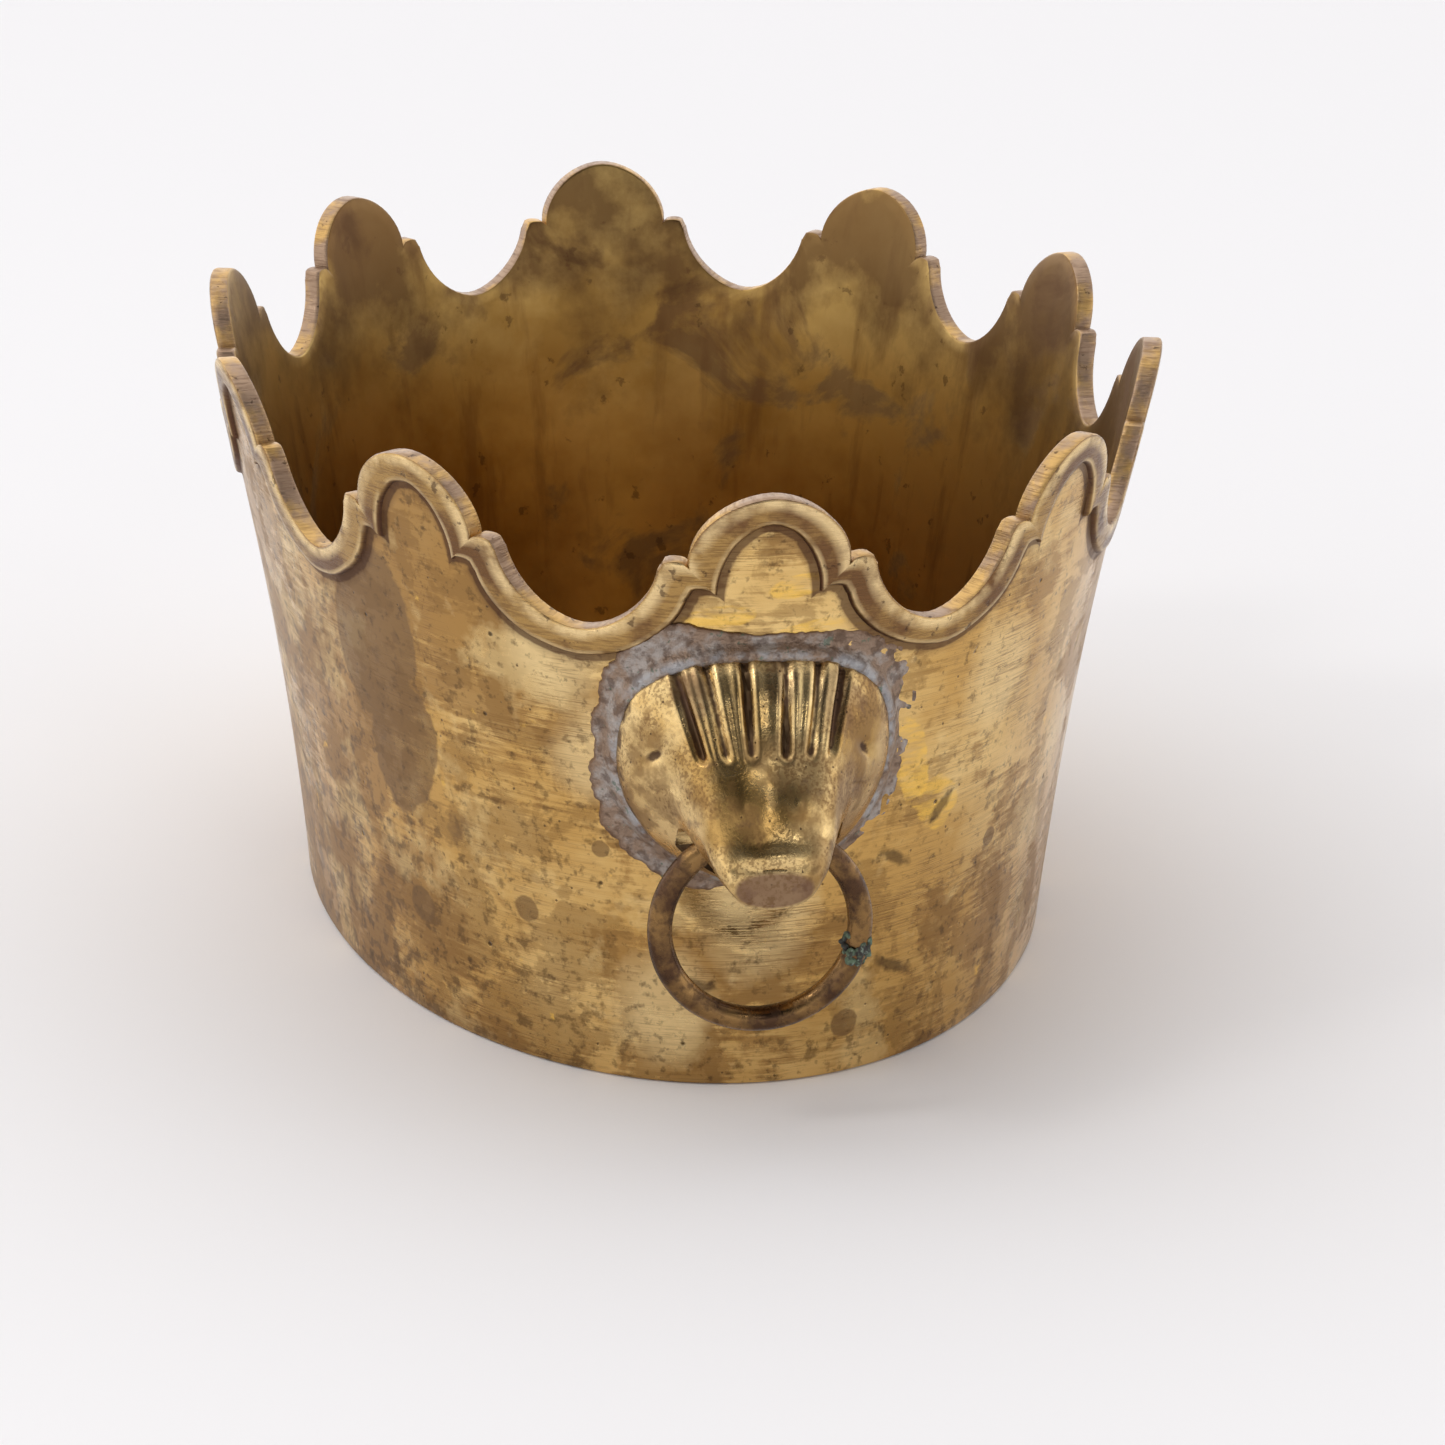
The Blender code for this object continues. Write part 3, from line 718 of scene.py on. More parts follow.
def solder_places(seed):
    """The places of one run of solder, whose ragged edge and lumps a seed picks."""
    def place(column, row):
        turn = column / SOLDER_COLUMNS * 2.0 * math.pi
        all_turns = np.arange(SOLDER_COLUMNS) / SOLDER_COLUMNS * 2.0 * math.pi
        over_bead, share, bead, crusted = profile[row].T
        width = solder_width(all_turns, seed)[column]
        x, z = head_section(np.zeros(len(turn)), turn, over_bead + share * width)
        x, z = x * MM, HEAD_MIDDLE + z * MM
        spot = np.stack([x, wall_front(x, z), z], axis=-1)
        lumps = np.array([
            1.0 + 0.6 * noise.noise(Vector(p) * 300.0 + Vector((seed, 0, 0)))
            + 0.4 * noise.noise(Vector(p) * 900.0)
            for p in spot
        ])
        rise = SOLDER_BEAD * bead * (0.75 + 0.25 * lumps)
        rise += SOLDER_CRUST * crusted * np.where(crusted > 0, np.maximum(lumps, 0.5), 1.0)
        spot[:, 1] += dents(spot) - rise * MM
        return spot
    return place


def run_solder(name, seed):
    """Rolls one run of solder and marks its bead and its thin edge for the finish."""
    run = rolled_grid(name, SOLDER_COLUMNS, len(SOLDER_PROFILE), solder_places(seed))
    rows = np.repeat(np.arange(len(SOLDER_PROFILE) + 1) % len(SOLDER_PROFILE), SOLDER_COLUMNS + 1)
    mark(run, "bead", profile[rows, 2])
    mark(run, "edge", smooth_step(0.7, 1.0, profile[rows, 1]))
    weld_and_smooth(run, 60.0)
    return run


head_solder = run_solder("front_mask_solder", 1.0)
print("solder runs out", SOLDER_WIDTHS, "mm round the head")

# %% [markdown]
# The rear head is the same casting, soldered on by the same hand. Each piece of the front end is copied
# with its own mesh and turned half round the pot's upright axis. Only the solder is run afresh, because
# no two runs are alike. The front head was soldered on a little off centre.
# %% Copy the head to the rear end
HALF_TURN = Matrix.Rotation(math.pi, 4, "Z")


def copied(piece, name, move):
    """A copy with a mesh of its own, moved in its mesh so that its object stays at the origin."""
    twin = piece.copy()
    twin.data = piece.data.copy()
    twin.name = twin.data.name = name
    bpy.context.scene.collection.objects.link(twin)
    twin.data.transform(move)
    return twin


rear_mask = copied(lion_mask, "rear_lion_mask", HALF_TURN)
rear_solder = run_solder("rear_mask_solder", 7.0)
rear_solder.data.transform(HALF_TURN)
for piece in (lion_mask, head_solder):
    piece.data.transform(Matrix.Translation((head_shift, 0.0, 0.0)))
print("front head is", round(head_shift / MM, 2), "mm off centre")

# %% [markdown]
# ## The rings
#
# A ring is a length of thick wire bent round and pushed through the cheeks, with its two ends butted
# low on one side. It is a torus, finely divided, whose wire is a little uneven and is pinched in where
# its ends meet.
# %% Bend the rings
RING_RADIUS, RING_WIRE = 13.75 * MM, 3.5 * MM
RING_STEPS, WIRE_STEPS = 256, 28
RING_JOINT = math.radians(-16.0)
ring_hang = math.sqrt(RING_RADIUS ** 2 - CHEEK_HALF_SPAN ** 2)


def bent_ring(name, swing_place, joint_turn):
    """A wire ring hanging from the line it swings about, upright in the plane of the wall's end."""
    deselect_everything()
    middle = Vector(swing_place) - Vector((0.0, 0.0, ring_hang))
    bpy.ops.mesh.primitive_torus_add(
        major_segments=RING_STEPS, minor_segments=WIRE_STEPS, major_radius=RING_RADIUS,
        minor_radius=RING_WIRE / 2, location=middle, rotation=(math.pi / 2, 0.0, 0.0),
    )
    ring = bpy.context.object
    ring.name = ring.data.name = name
    bpy.ops.object.transform_apply(location=True, rotation=True, scale=True)
    for vertex in ring.data.vertices:
        arm = vertex.co - middle
        turn = math.atan2(arm.z, arm.x)
        core = middle + Vector((math.cos(turn), 0.0, math.sin(turn))) * RING_RADIUS
        from_joint = abs(math.remainder(turn - joint_turn, 2.0 * math.pi)) * RING_RADIUS
        thin = 1.0 - 0.26 * math.exp(-(from_joint / (0.28 * MM)) ** 2) - 0.015
        thin += 0.03 * noise.noise(vertex.co * 160.0) + 0.012 * noise.noise(vertex.co * 900.0)
        vertex.co = core + (vertex.co - core) * min(1.0, thin)
    bpy.ops.object.shade_smooth()
    return ring


rear_swing = Vector(joints["rear_ring_swing"]["pos_m"])
front_ring = bent_ring("front_wire_ring", swing_line, RING_JOINT)
rear_ring = bent_ring("rear_wire_ring", rear_swing, math.pi - RING_JOINT)
print("rings hang", round(ring_hang / MM, 2), "mm below their swing lines")

# %% [markdown]
# The joint of each ring was touched with solder, and damp has turned that spot green. The crust is a
# cluster of small lumps on the wire: round stones of a few dozen faces, pushed about with noise and
# sunk half into the metal.
# %% Grow the green crust on the joints
def crust(name, swing_place, joint_turn, lumps, seed):
    """A cluster of lumps round the wire at a turn of the ring, joined into one piece."""
    middle = Vector(swing_place) - Vector((0.0, 0.0, ring_hang))
    chance = np.random.default_rng(seed)
    grains = []
    for _ in range(lumps):
        turn = joint_turn + chance.normal(0.0, 0.08)
        round_wire = chance.uniform(0.0, 2.0 * math.pi)
        reach = RING_WIRE / 2 * chance.uniform(0.84, 1.0)
        radial = Vector((math.cos(turn), 0.0, math.sin(turn)))
        spot = middle + radial * (RING_RADIUS + reach * math.cos(round_wire))
        spot += Vector((0.0, reach * math.sin(round_wire), 0.0))
        deselect_everything()
        bpy.ops.mesh.primitive_ico_sphere_add(
            subdivisions=3, radius=chance.uniform(0.24, 0.68) * MM, location=spot,
            scale=(chance.uniform(0.8, 1.3), chance.uniform(0.7, 1.1), chance.uniform(0.8, 1.3)),
        )
        grain = bpy.context.object
        bpy.ops.object.transform_apply(location=True, rotation=True, scale=True)
        for vertex in grain.data.vertices:
            away = vertex.co - spot
            vertex.co = spot + away * (1.0 + 0.45 * noise.noise(vertex.co * 1400.0))
        grains.append(grain)
    deselect_everything()
    for grain in grains:
        grain.select_set(True)
    bpy.context.view_layer.objects.active = grains[0]
    bpy.ops.object.join()
    bpy.ops.object.shade_smooth()
    piece = bpy.context.object
    piece.name = piece.data.name = name
    return piece


front_crust = crust("front_ring_crust", swing_line, RING_JOINT, 60, 5)
rear_crust = crust("rear_ring_crust", rear_swing, math.pi - RING_JOINT, 26, 9)
print("crusts have", len(front_crust.data.polygons), "and", len(rear_crust.data.polygons), "faces")

# %% [markdown]
# ## The solder inside
#
# Inside, a bead of solder runs round the corner where the base plate meets the wall. It is a hollow
# fillet that a soldering iron left uneven. It is rolled like the wall: a small closed profile in the
# corner, carried round the oval.
# %% Run the bead round the base
plate_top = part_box("base_plate")[1].z
SEAM_COLUMNS, SEAM_LEG = 420, 2.6 * MM
# Across the bead: depth behind the wall's face and height over the plate, as shares of its leg.
SEAM_PROFILE = np.array((
    (-0.06, -0.05), (-0.06, 0.5), (-0.04, 1.0), (0.06, 0.96), (0.14, 0.66), (0.26, 0.44), (0.42, 0.27),
    (0.62, 0.14), (0.9, 0.05), (1.04, -0.05), (0.5, -0.08),
))


def place_on_seam(column, row):
    """Where the bead's corners go, in the corner behind the wall and over the plate."""
    angle = column / SEAM_COLUMNS * 2.0 * math.pi
    depth, rise = SEAM_PROFILE[row].T
    uneven = 1.0 + 0.22 * round_noise(angle, 9.0, 2.0) + 0.14 * round_noise(angle, 40.0, 5.0)
    z = plate_top + rise * SEAM_LEG * np.where(rise > 0.2, uneven, 1.0)
    return wall_places(angle, z, -WALL - GAP / 2 - depth * SEAM_LEG * np.where(depth > 0.2, uneven, 1.0))


base_bead = rolled_grid("base_solder_bead", SEAM_COLUMNS, len(SEAM_PROFILE), place_on_seam)
weld_and_smooth(base_bead, 60.0)
print("bead is", round(SEAM_LEG / MM, 1), "mm on a leg")

# %% [markdown]
# ## Finishes
#
# The wall is cast brass, filed and polished long ago, and handled since. Brass is a bare metal: full
# metallic, with its colour in the base colour. Where it was wiped it is pale gold, and where it was
# not, a brown film of oxide has grown with quite sharp edges. Brushing left fine parallel scratches,
# and the casting left pits. Each of those is one small pattern, worked out from its size in
# millimetres. Real scratches are a few hundredths of a millimetre wide and moulding sand is 0.2 mm.
# Both are too fine to show from here, so scratches are drawn about five times as coarse, as bunches of
# marks, and the sand about twice as coarse. First come the patterns that several finishes share.
# %% Patterns that the finishes share
def clouds(tree, where, size, low, high, detail=4.0, shift=0.0, warp=0.0, more=None, inside=None):
    """A mask of cloudy patches about this size, in metres; low and high set how sharp its edges are.

    The patches swell where more is high, and stay inside another pattern when one is given.
    """
    moved = add(tree, "VectorMath", {0: where, 1: (shift, shift * 0.7, -shift)}, operation="ADD")
    pattern = add(tree, "TexNoise", {
        "Vector": moved, "Scale": 1.0 / size, "Detail": detail, "Roughness": 0.6, "Distortion": warp,
    })
    if more is not None:
        pattern = add(tree, "Math", {0: pattern, 1: more}, operation="ADD")
    patches = add(tree, "MapRange", {"Value": pattern, "From Min": low, "From Max": high}, clamp=True)
    if inside is not None:
        patches = add(tree, "Math", {0: inside, 1: patches}, operation="MULTIPLY")
    return patches


def brush_marks(tree, where, turn, spacing, length, low=0.5, high=0.62):
    """Fine parallel scratches: noise drawn out along one direction, tilted by turn across the front."""
    laid = add(tree, "Mapping", {
        "Vector": where, "Rotation": (0.0, turn, 0.0), "Scale": (1.0 / length, 1.0 / length, 1.0 / spacing),
    }, vector_type="POINT")
    pattern = add(tree, "TexNoise", {"Vector": laid, "Scale": 1.0, "Detail": 3.0, "Roughness": 0.7})
    return add(tree, "MapRange", {"Value": pattern, "From Min": low, "From Max": high}, clamp=True)


def pits(tree, where, spacing, width, share):
    """Scattered small pits: the middles of some cells of a cell pattern."""
    cells = add(tree, "TexVoronoi", {"Vector": where, "Scale": 1.0 / spacing, "Randomness": 1.0})
    hollow = add(tree, "MapRange", {
        "Value": cells.outputs["Distance"], "From Min": width / spacing, "From Max": 0.55 * width / spacing,
    }, clamp=True)
    lot = add(tree, "SeparateColor", {"Color": cells.outputs["Color"]}).outputs[0]
    chosen = add(tree, "Math", {0: lot, 1: share}, operation="LESS_THAN")
    return add(tree, "Math", {0: hollow, 1: chosen}, operation="MULTIPLY")


def stain(tree, where, at, size, turn=0.0, ragged=0.16, grain=9.0 * MM, edge=0.05):
    """One spot at a place on a piece, with these half sizes, tilted by turn, and a ragged edge."""
    laid = add(tree, "Mapping", {
        "Vector": where, "Location": at, "Rotation": (0.0, turn, 0.0), "Scale": size,
    }, vector_type="TEXTURE")
    ball = add(tree, "TexGradient", {"Vector": laid}, gradient_type="SPHERICAL")
    rough = add(tree, "TexNoise", {"Vector": where, "Scale": 1.0 / grain, "Detail": 5.0, "Roughness": 0.62})
    swell = add(tree, "Math", {0: rough, 1: 2.0 * ragged, 2: -ragged}, operation="MULTIPLY_ADD")
    spread = add(tree, "Math", {0: ball, 1: swell}, operation="ADD")
    return add(tree, "MapRange", {"Value": spread, "From Min": 0.10, "From Max": 0.10 + edge}, clamp=True)


print("patterns are ready: clouds, brush marks, pits and stains")

# %% [markdown]
# A finish is laid up as it grew on the metal. Its colour starts from the bare metal, and each film or
# stain lies over what was there before. Its roughness starts from one number, to which each pattern
# adds a little, and its relief is the patterns' depths, one over another.
# %% Lay up a finish
def over(tree, under, colour, mask, strength=1.0):
    """Lays a hex colour over another one, or over what is laid already, where a mask says."""
    if isinstance(under, str):
        under = srgb(under)
    thin = add(tree, "Math", {0: mask, 1: strength}, operation="MULTIPLY")
    return add(tree, "MixRGB", {"Fac": thin, "Color1": under, "Color2": srgb(colour)})


def summed(tree, number, *layers):
    """A number, such as a roughness, to which each pattern adds its amount where it lies."""
    for pattern, amount in layers:
        number = add(tree, "Math", {0: pattern, 1: amount, 2: number}, operation="MULTIPLY_ADD")
    return number


def relief(tree, *layers):
    """Bump from patterns, each with its depth in metres, laid one over another."""
    skin = None
    for pattern, depth in layers:
        inputs = {"Height": pattern, "Distance": abs(depth), "Strength": 1.0}
        if skin is not None:
            inputs["Normal"] = skin
        skin = add(tree, "Bump", inputs, invert=depth < 0)
    return skin


def on_wall(across, z):
    """A place on the front half of the wall, across from the middle and up, both in millimetres."""
    return (across * MM, float(wall_front(across * MM, z * MM)), z * MM)


def wear(shader, tree, metal, dull, skin, metallic=1.0):
    """Plugs the colour, the roughness and the relief of a finish into its shader."""
    shader.inputs["Metallic"].default_value = metallic
    tree.links.new(metal.outputs[0], shader.inputs["Base Color"])
    tree.links.new(dull.outputs[0], shader.inputs["Roughness"])
    tree.links.new(skin.outputs[0], shader.inputs["Normal"])


print("a place on the wall in mm:", [round(c / MM, 1) for c in on_wall(20.0, 40.0)])

# %% [markdown]
# ### The outside of the wall
#
# This skin gives the eye most of the pot. Wiped brass shows as pale gold; over it lies brown oxide film
# in three sizes of patch with crisp edges, laid thicker low down and on the left, where the extra darkening
# is also painted shade. The films follow old brush strokes, so two sets of strokes stir their edges.
# %% Cast brass and its films
worn_brass, tree, shader, where = new_finish("cast_brass_worn")
place = add(tree, "SeparateXYZ", {"Vector": where})
# Films are laid thicker low down and on the left: partly tarnish, partly painted shade.
lowness = add(tree, "MapRange", {
    "Value": place.outputs["Z"], "From Min": 62 * MM, "From Max": 6 * MM, "To Max": 0.06})
leftness = add(tree, "MapRange", {
    "Value": place.outputs["X"], "From Min": -6 * MM, "From Max": -60 * MM, "To Max": 0.08})
film_and_shade_bias = add(tree, "Math", {0: lowness, 1: leftness}, operation="ADD")
strokes = brush_marks(tree, where, 0.45, 0.9 * MM, 9 * MM, 0.0, 1.0)
cross_strokes = brush_marks(tree, where, -0.35, 1.3 * MM, 12 * MM, 0.0, 1.0)
film_and_shade_bias = summed(tree, film_and_shade_bias, (strokes, 0.17), (cross_strokes, 0.13))
film_and_shade_bias = add(tree, "Math", {0: film_and_shade_bias, 1: 0.15}, operation="SUBTRACT")
metal = over(tree, "#EBC886", "#CDA35F", clouds(tree, where, 34 * MM, 0.38, 0.62, more=film_and_shade_bias))
wide_film = clouds(tree, where, 27 * MM, 0.525, 0.575, detail=8.0, shift=0.31, warp=0.7, more=film_and_shade_bias)
metal = over(tree, metal, "#9A7342", wide_film, 0.66)
film = clouds(tree, where, 11 * MM, 0.550, 0.600, detail=9.0, shift=0.57, warp=0.4, more=film_and_shade_bias)
metal = over(tree, metal, "#86643A", film, 0.45)
rubbed = clouds(tree, where, 15 * MM, 0.55, 0.64, detail=6.0, shift=0.83)
metal = over(tree, metal, "#F8DC9E", rubbed, 0.40)
# Places that a rag reached, laid brighter as painted highlights as well, in millimetres across and up, with
# their half width.
RUBBED_AND_HIGHLIGHT_PLACES = (
    (-22.0, 50.0, 8.0), (1.0, 27.0, 10.0), (-28.0, 66.0, 9.0), (36.0, 58.0, 9.0), (-12.0, 12.0, 9.0))
for across, z, size in RUBBED_AND_HIGHLIGHT_PLACES:
    rub_and_painted_highlight = stain(tree, where, on_wall(across, z), (size * MM, 12 * MM, 1.3 * size * MM), ragged=0.35,
                   grain=8 * MM, edge=0.45)
    metal = over(tree, metal, "#FBE0A6", rub_and_painted_highlight, 0.55)
specks = clouds(tree, where, 2.4 * MM, 0.62, 0.72, detail=9.0, shift=0.13, more=film_and_shade_bias)
metal = over(tree, metal, "#543E2A", specks, 0.55)
print("films and rubbed places take", len(tree.nodes), "nodes")

# %% [markdown]
# Scratches come in bunches that run different ways: each set of fine marks shows only inside some large
# patches. Old polish wiped over the metal left fresh yellow streaks above and beside the front head.
# %% Scratches and wiped polish
level_marks = clouds(tree, where, 22 * MM, 0.45, 0.60, shift=0.22,
                     inside=brush_marks(tree, where, 0.06, 0.16 * MM, 9 * MM))
slant_marks = clouds(tree, where, 17 * MM, 0.50, 0.58, shift=0.44,
                     inside=brush_marks(tree, where, 0.72, 0.22 * MM, 8 * MM, 0.52, 0.60))
steep_marks = clouds(tree, where, 14 * MM, 0.52, 0.60, shift=0.66,
                     inside=brush_marks(tree, where, -1.15, 0.25 * MM, 6 * MM, 0.54, 0.62))
for marks, colour, strength in ((level_marks, "#7A5A38", 0.30), (slant_marks, "#7C5A36", 0.50),
                                (steep_marks, "#745434", 0.40)):
    metal = over(tree, metal, colour, marks, strength)
wiped = brush_marks(tree, where, 0.16, 1.9 * MM, 8 * MM, 0.42, 0.60)
# Across, up, and the half width, depth and height of each streak, in millimetres.
YELLOW_STREAKS = (
    (6.0, 69.8, (11, 8, 2.6)), (-7.0, 72.5, (6, 8, 2.4)), (4.0, 77.5, (5, 8, 2.0)),
    (22.0, 48.0, (3.4, 8, 8.5)), (27.0, 40.0, (4, 9, 5)))
for across, z, size in YELLOW_STREAKS:
    size = tuple(side * MM for side in size)
    yellow = stain(tree, where, on_wall(across, z), size, -0.2, ragged=0.3, grain=5 * MM, edge=0.1)
    yellow = add(tree, "Math", {0: yellow, 1: wiped}, operation="MULTIPLY")
    metal = over(tree, metal, "#FBCB5E", yellow, 0.65)
print("with scratches and polish there are", len(tree.nodes), "nodes")

# %% [markdown]
# One long stain runs down on the left, with a few round spots and thin smudges elsewhere. The casting
# left pits, which hold dark dirt, and more dirt lies in the corner under the border. The metal is not
# flat either: a very shallow unevenness, under a tenth of a millimetre deep, makes the mirrored table
# waver.
# %% Stains, pits, dirt and relief
stains = stain(tree, where, on_wall(-50.5, 59.0), (8 * MM, 14 * MM, 17 * MM), 0.12, ragged=0.3, grain=13 * MM)
tail = stain(tree, where, on_wall(-46.5, 43.0), (6 * MM, 12 * MM, 13 * MM), 0.10, ragged=0.3, grain=11 * MM)
stains = add(tree, "Math", {0: stains, 1: tail}, operation="MAXIMUM")
# Across, up and half size, in millimetres.
ROUND_SPOTS = (
    (-44.0, 18.0, 3.4), (-30.5, 24.0, 2.4), (-21.0, 36.0, 1.6), (37.0, 30.0, 1.8), (14.0, 8.0, 2.6))
for across, z, size in ROUND_SPOTS:
    round_spot = stain(tree, where, on_wall(across, z), (size * MM,) * 3, ragged=0.2, grain=3 * MM, edge=0.12)
    stains = add(tree, "Math", {0: stains, 1: round_spot}, operation="MAXIMUM")
metal = over(tree, metal, "#7E6242", stains, 0.72)
# Across and up in millimetres, turn, and half length in millimetres.
SMUDGES = ((20.5, 33.0, 0.6, 4.2), (27.5, 39.0, -0.9, 3.4), (21.0, 15.5, 0.5, 5.0), (-8.0, 16.0, 0.2, 4.0))
for across, z, turn, length in SMUDGES:
    smudge = stain(tree, where, on_wall(across, z), (length * MM, 8 * MM, 1.3 * MM), turn, ragged=0.6,
                   grain=1.6 * MM, edge=0.5)
    metal = over(tree, metal, "#4E3C2C", smudge, 0.7)
holes = pits(tree, where, 5.2 * MM, 0.5 * MM, 0.24)
pinholes = pits(tree, where, 1.9 * MM, 0.24 * MM, 0.16)
metal = over(tree, metal, "#40301F", holes, 0.85)
metal = over(tree, metal, "#4A3826", pinholes, 0.75)
dirt = add(tree, "Attribute", attribute_name="crease").outputs["Fac"]
dirt_edge = clouds(tree, where, 3 * MM, 0.12, 0.50, detail=6.0, shift=0.9)
dirt = add(tree, "Math", {0: dirt, 1: dirt_edge, 2: 0.0}, operation="MULTIPLY_ADD")
dirt = add(tree, "MapRange", {"Value": dirt, "From Min": 0.05, "From Max": 0.32}, clamp=True)
metal = over(tree, metal, "#54392C", dirt, 0.8)
dull = summed(tree, 0.17, (wide_film, 0.12), (film, 0.09), (rubbed, -0.03), (stains, 0.07),
              (slant_marks, 0.08), (dirt, 0.2))
wavy = clouds(tree, where, 13 * MM, 0.25, 0.75, detail=2.0, shift=0.5)
skin = relief(tree, (wavy, 0.09 * MM), (level_marks, -0.006 * MM), (slant_marks, -0.010 * MM),
              (steep_marks, -0.010 * MM), (film, 0.012 * MM), (holes, -0.15 * MM), (pinholes, -0.06 * MM))
wear(shader, tree, metal, dull, skin)
print("outside finish has", len(tree.nodes), "nodes")

# %% [markdown]
# ### The border and the sawn edge
#
# The border was cleaned up with a file, whose short steep strokes still show, and its corners are
# rubbed bright by hands while the flat between them has gone brown. The top edge was sawn, and dried
# polish and oxide in the saw marks make it look pinkish brown and almost dull.
# %% Filed brass of the border and sawn brass of the edge
filed_brass, tree, shader, where = new_finish("cast_brass_filed_border")
metal = over(tree, "#AD8A54", "#765639", clouds(tree, where, 12 * MM, 0.42, 0.55, detail=8.0))
file_marks = brush_marks(tree, where, 1.2, 0.26 * MM, 4 * MM, 0.48, 0.6)
metal = over(tree, metal, "#6E5036", file_marks, 0.45)
rub = add(tree, "Attribute", attribute_name="rub").outputs["Fac"]
rubbed_corner = clouds(tree, where, 7 * MM, 0.35, 0.55, shift=0.4, inside=rub)
metal = over(tree, metal, "#EFD29C", rubbed_corner, 0.8)
spots = clouds(tree, where, 2.2 * MM, 0.62, 0.67, detail=7.0, shift=0.7)
metal = over(tree, metal, "#4E382A", spots, 0.7)
dirt = add(tree, "Attribute", attribute_name="crease").outputs["Fac"]
metal = over(tree, metal, "#5A4034", dirt, 0.85)
dull = summed(tree, 0.27, (file_marks, 0.10), (dirt, 0.2))
wear(shader, tree, metal, dull, relief(tree, (file_marks, -0.02 * MM), (spots, -0.04 * MM)))
print("border finish has", len(tree.nodes), "nodes")

sawn_brass, tree, shader, where = new_finish("cast_brass_sawn_edge")
metal = over(tree, "#A18770", "#C6A064", clouds(tree, where, 8 * MM, 0.46, 0.60, detail=6.0))
saw_marks = brush_marks(tree, where, 1.3, 0.24 * MM, 4 * MM, 0.45, 0.65)
metal = over(tree, metal, "#6C503C", saw_marks, 0.38)
metal = over(tree, metal, "#3E2C22", clouds(tree, where, 1.6 * MM, 0.64, 0.68, shift=0.2), 0.7)
wear(shader, tree, metal, summed(tree, 0.40, (saw_marks, 0.12)), relief(tree, (saw_marks, -0.03 * MM)))
print("edge finish has", len(tree.nodes), "nodes")

# %% [markdown]
# ### The inside and the base plate
#
# Nobody polishes the inside. Its light has bounced from brass to brass a few times, which turns it deep
# amber, and damp from the plants left purple-brown patches and streaks that ran down the wall. The
# base plate has the same tarnish, a little darker, since water stood on it.
# %% Tarnished brass of the inside
def tarnished_inside(name, pale, deep):
    """Brass with cloudy tarnish, water streaks and purple-brown patches."""
    finish, tree, shader, where = new_finish(name)
    metal = over(tree, pale, deep, clouds(tree, where, 38 * MM, 0.42, 0.60, detail=6.0))
    patches = clouds(tree, where, 21 * MM, 0.56, 0.64, detail=7.0, shift=0.4, warp=0.6)
    metal = over(tree, metal, "#70503E", patches, 0.62)
    drawn_out = add(tree, "VectorMath", {0: where, 1: (1.0, 1.0, 0.12)}, operation="MULTIPLY")
    streaks = clouds(tree, drawn_out, 7 * MM, 0.54, 0.66, detail=5.0, shift=0.15)
    metal = over(tree, metal, "#7C5A3A", streaks, 0.45)
    spots = clouds(tree, where, 4 * MM, 0.64, 0.68, detail=7.0, shift=0.77)
    metal = over(tree, metal, "#4C362A", spots, 0.5)
    height = add(tree, "SeparateXYZ", {"Vector": where}).outputs["Z"]
    # Darker towards the rim: cloudy patches that grow more common higher up.
    near_rim = add(tree, "MapRange", {
        "Value": height, "From Min": 52 * MM, "From Max": 84 * MM, "To Max": 0.34})
    darker_near_rim = clouds(tree, where, 24 * MM, 0.60, 0.80, detail=7.0, shift=0.25, more=near_rim)
    metal = over(tree, metal, "#66492F", darker_near_rim, 0.82)
    dull = summed(tree, 0.33, (patches, 0.14), (darker_near_rim, 0.06))
    wavy = clouds(tree, where, 14 * MM, 0.25, 0.75, detail=2.0)
    wear(shader, tree, metal, dull, relief(tree, (wavy, 0.08 * MM)))
    return finish


inside_brass = tarnished_inside("cast_brass_tarnished_inside", "#D0AF6C", "#B08C4C")
plate_brass = tarnished_inside("rolled_brass_base_plate", "#B08A50", "#8A6636")
for finish in (worn_brass, filed_brass, sawn_brass, inside_brass):
    pot_wall.data.materials.append(finish)
frame["nodes"]["base_plate"].material_slots[0].material = plate_brass
print("wall wears", [finish.name for finish in pot_wall.data.materials])

# %% [markdown]
# ### The lion heads
#
# The heads were cast in fine sand and left as they came, so their skin has a faint grain. The tops of
# the ridges and the bridge of the nose are rubbed smooth. Dark brown oxide fills the grooves and the
# flat end of the nose, and a thin olive film dulls the rest.
# %% Cast brass of the lion heads
lion_brass, tree, shader, where = new_finish("cast_brass_lion_head")
metal = over(tree, "#E6C78C", "#B08C52", clouds(tree, where, 13 * MM, 0.40, 0.60))
film = clouds(tree, where, 7 * MM, 0.50, 0.58, detail=9.0, shift=0.2)
metal = over(tree, metal, "#7E5E3A", film, 0.62)
in_groove = add(tree, "Attribute", attribute_name="groove").outputs["Fac"]
ragged_groove = clouds(tree, where, 2.4 * MM, 0.9, 1.15, detail=6.0, shift=0.6, more=in_groove)
metal = over(tree, metal, "#4A352C", ragged_groove, 0.88)
how_far_out = add(tree, "Attribute", attribute_name="out").outputs["Fac"]
nose_end = add(tree, "MapRange", {"Value": how_far_out, "From Min": 19.02, "From Max": 19.17})
metal = over(tree, metal, "#75594A", nose_end, 0.85)
rim_of_mask = add(tree, "MapRange", {
    "Value": how_far_out, "From Min": 3.6, "From Max": 0.6, "To Max": 0.5})
rim_dirt = clouds(tree, where, 3 * MM, 0.74, 0.86, detail=7.0, shift=0.45, more=rim_of_mask)
metal = over(tree, metal, "#5C4A3E", rim_dirt, 0.85)
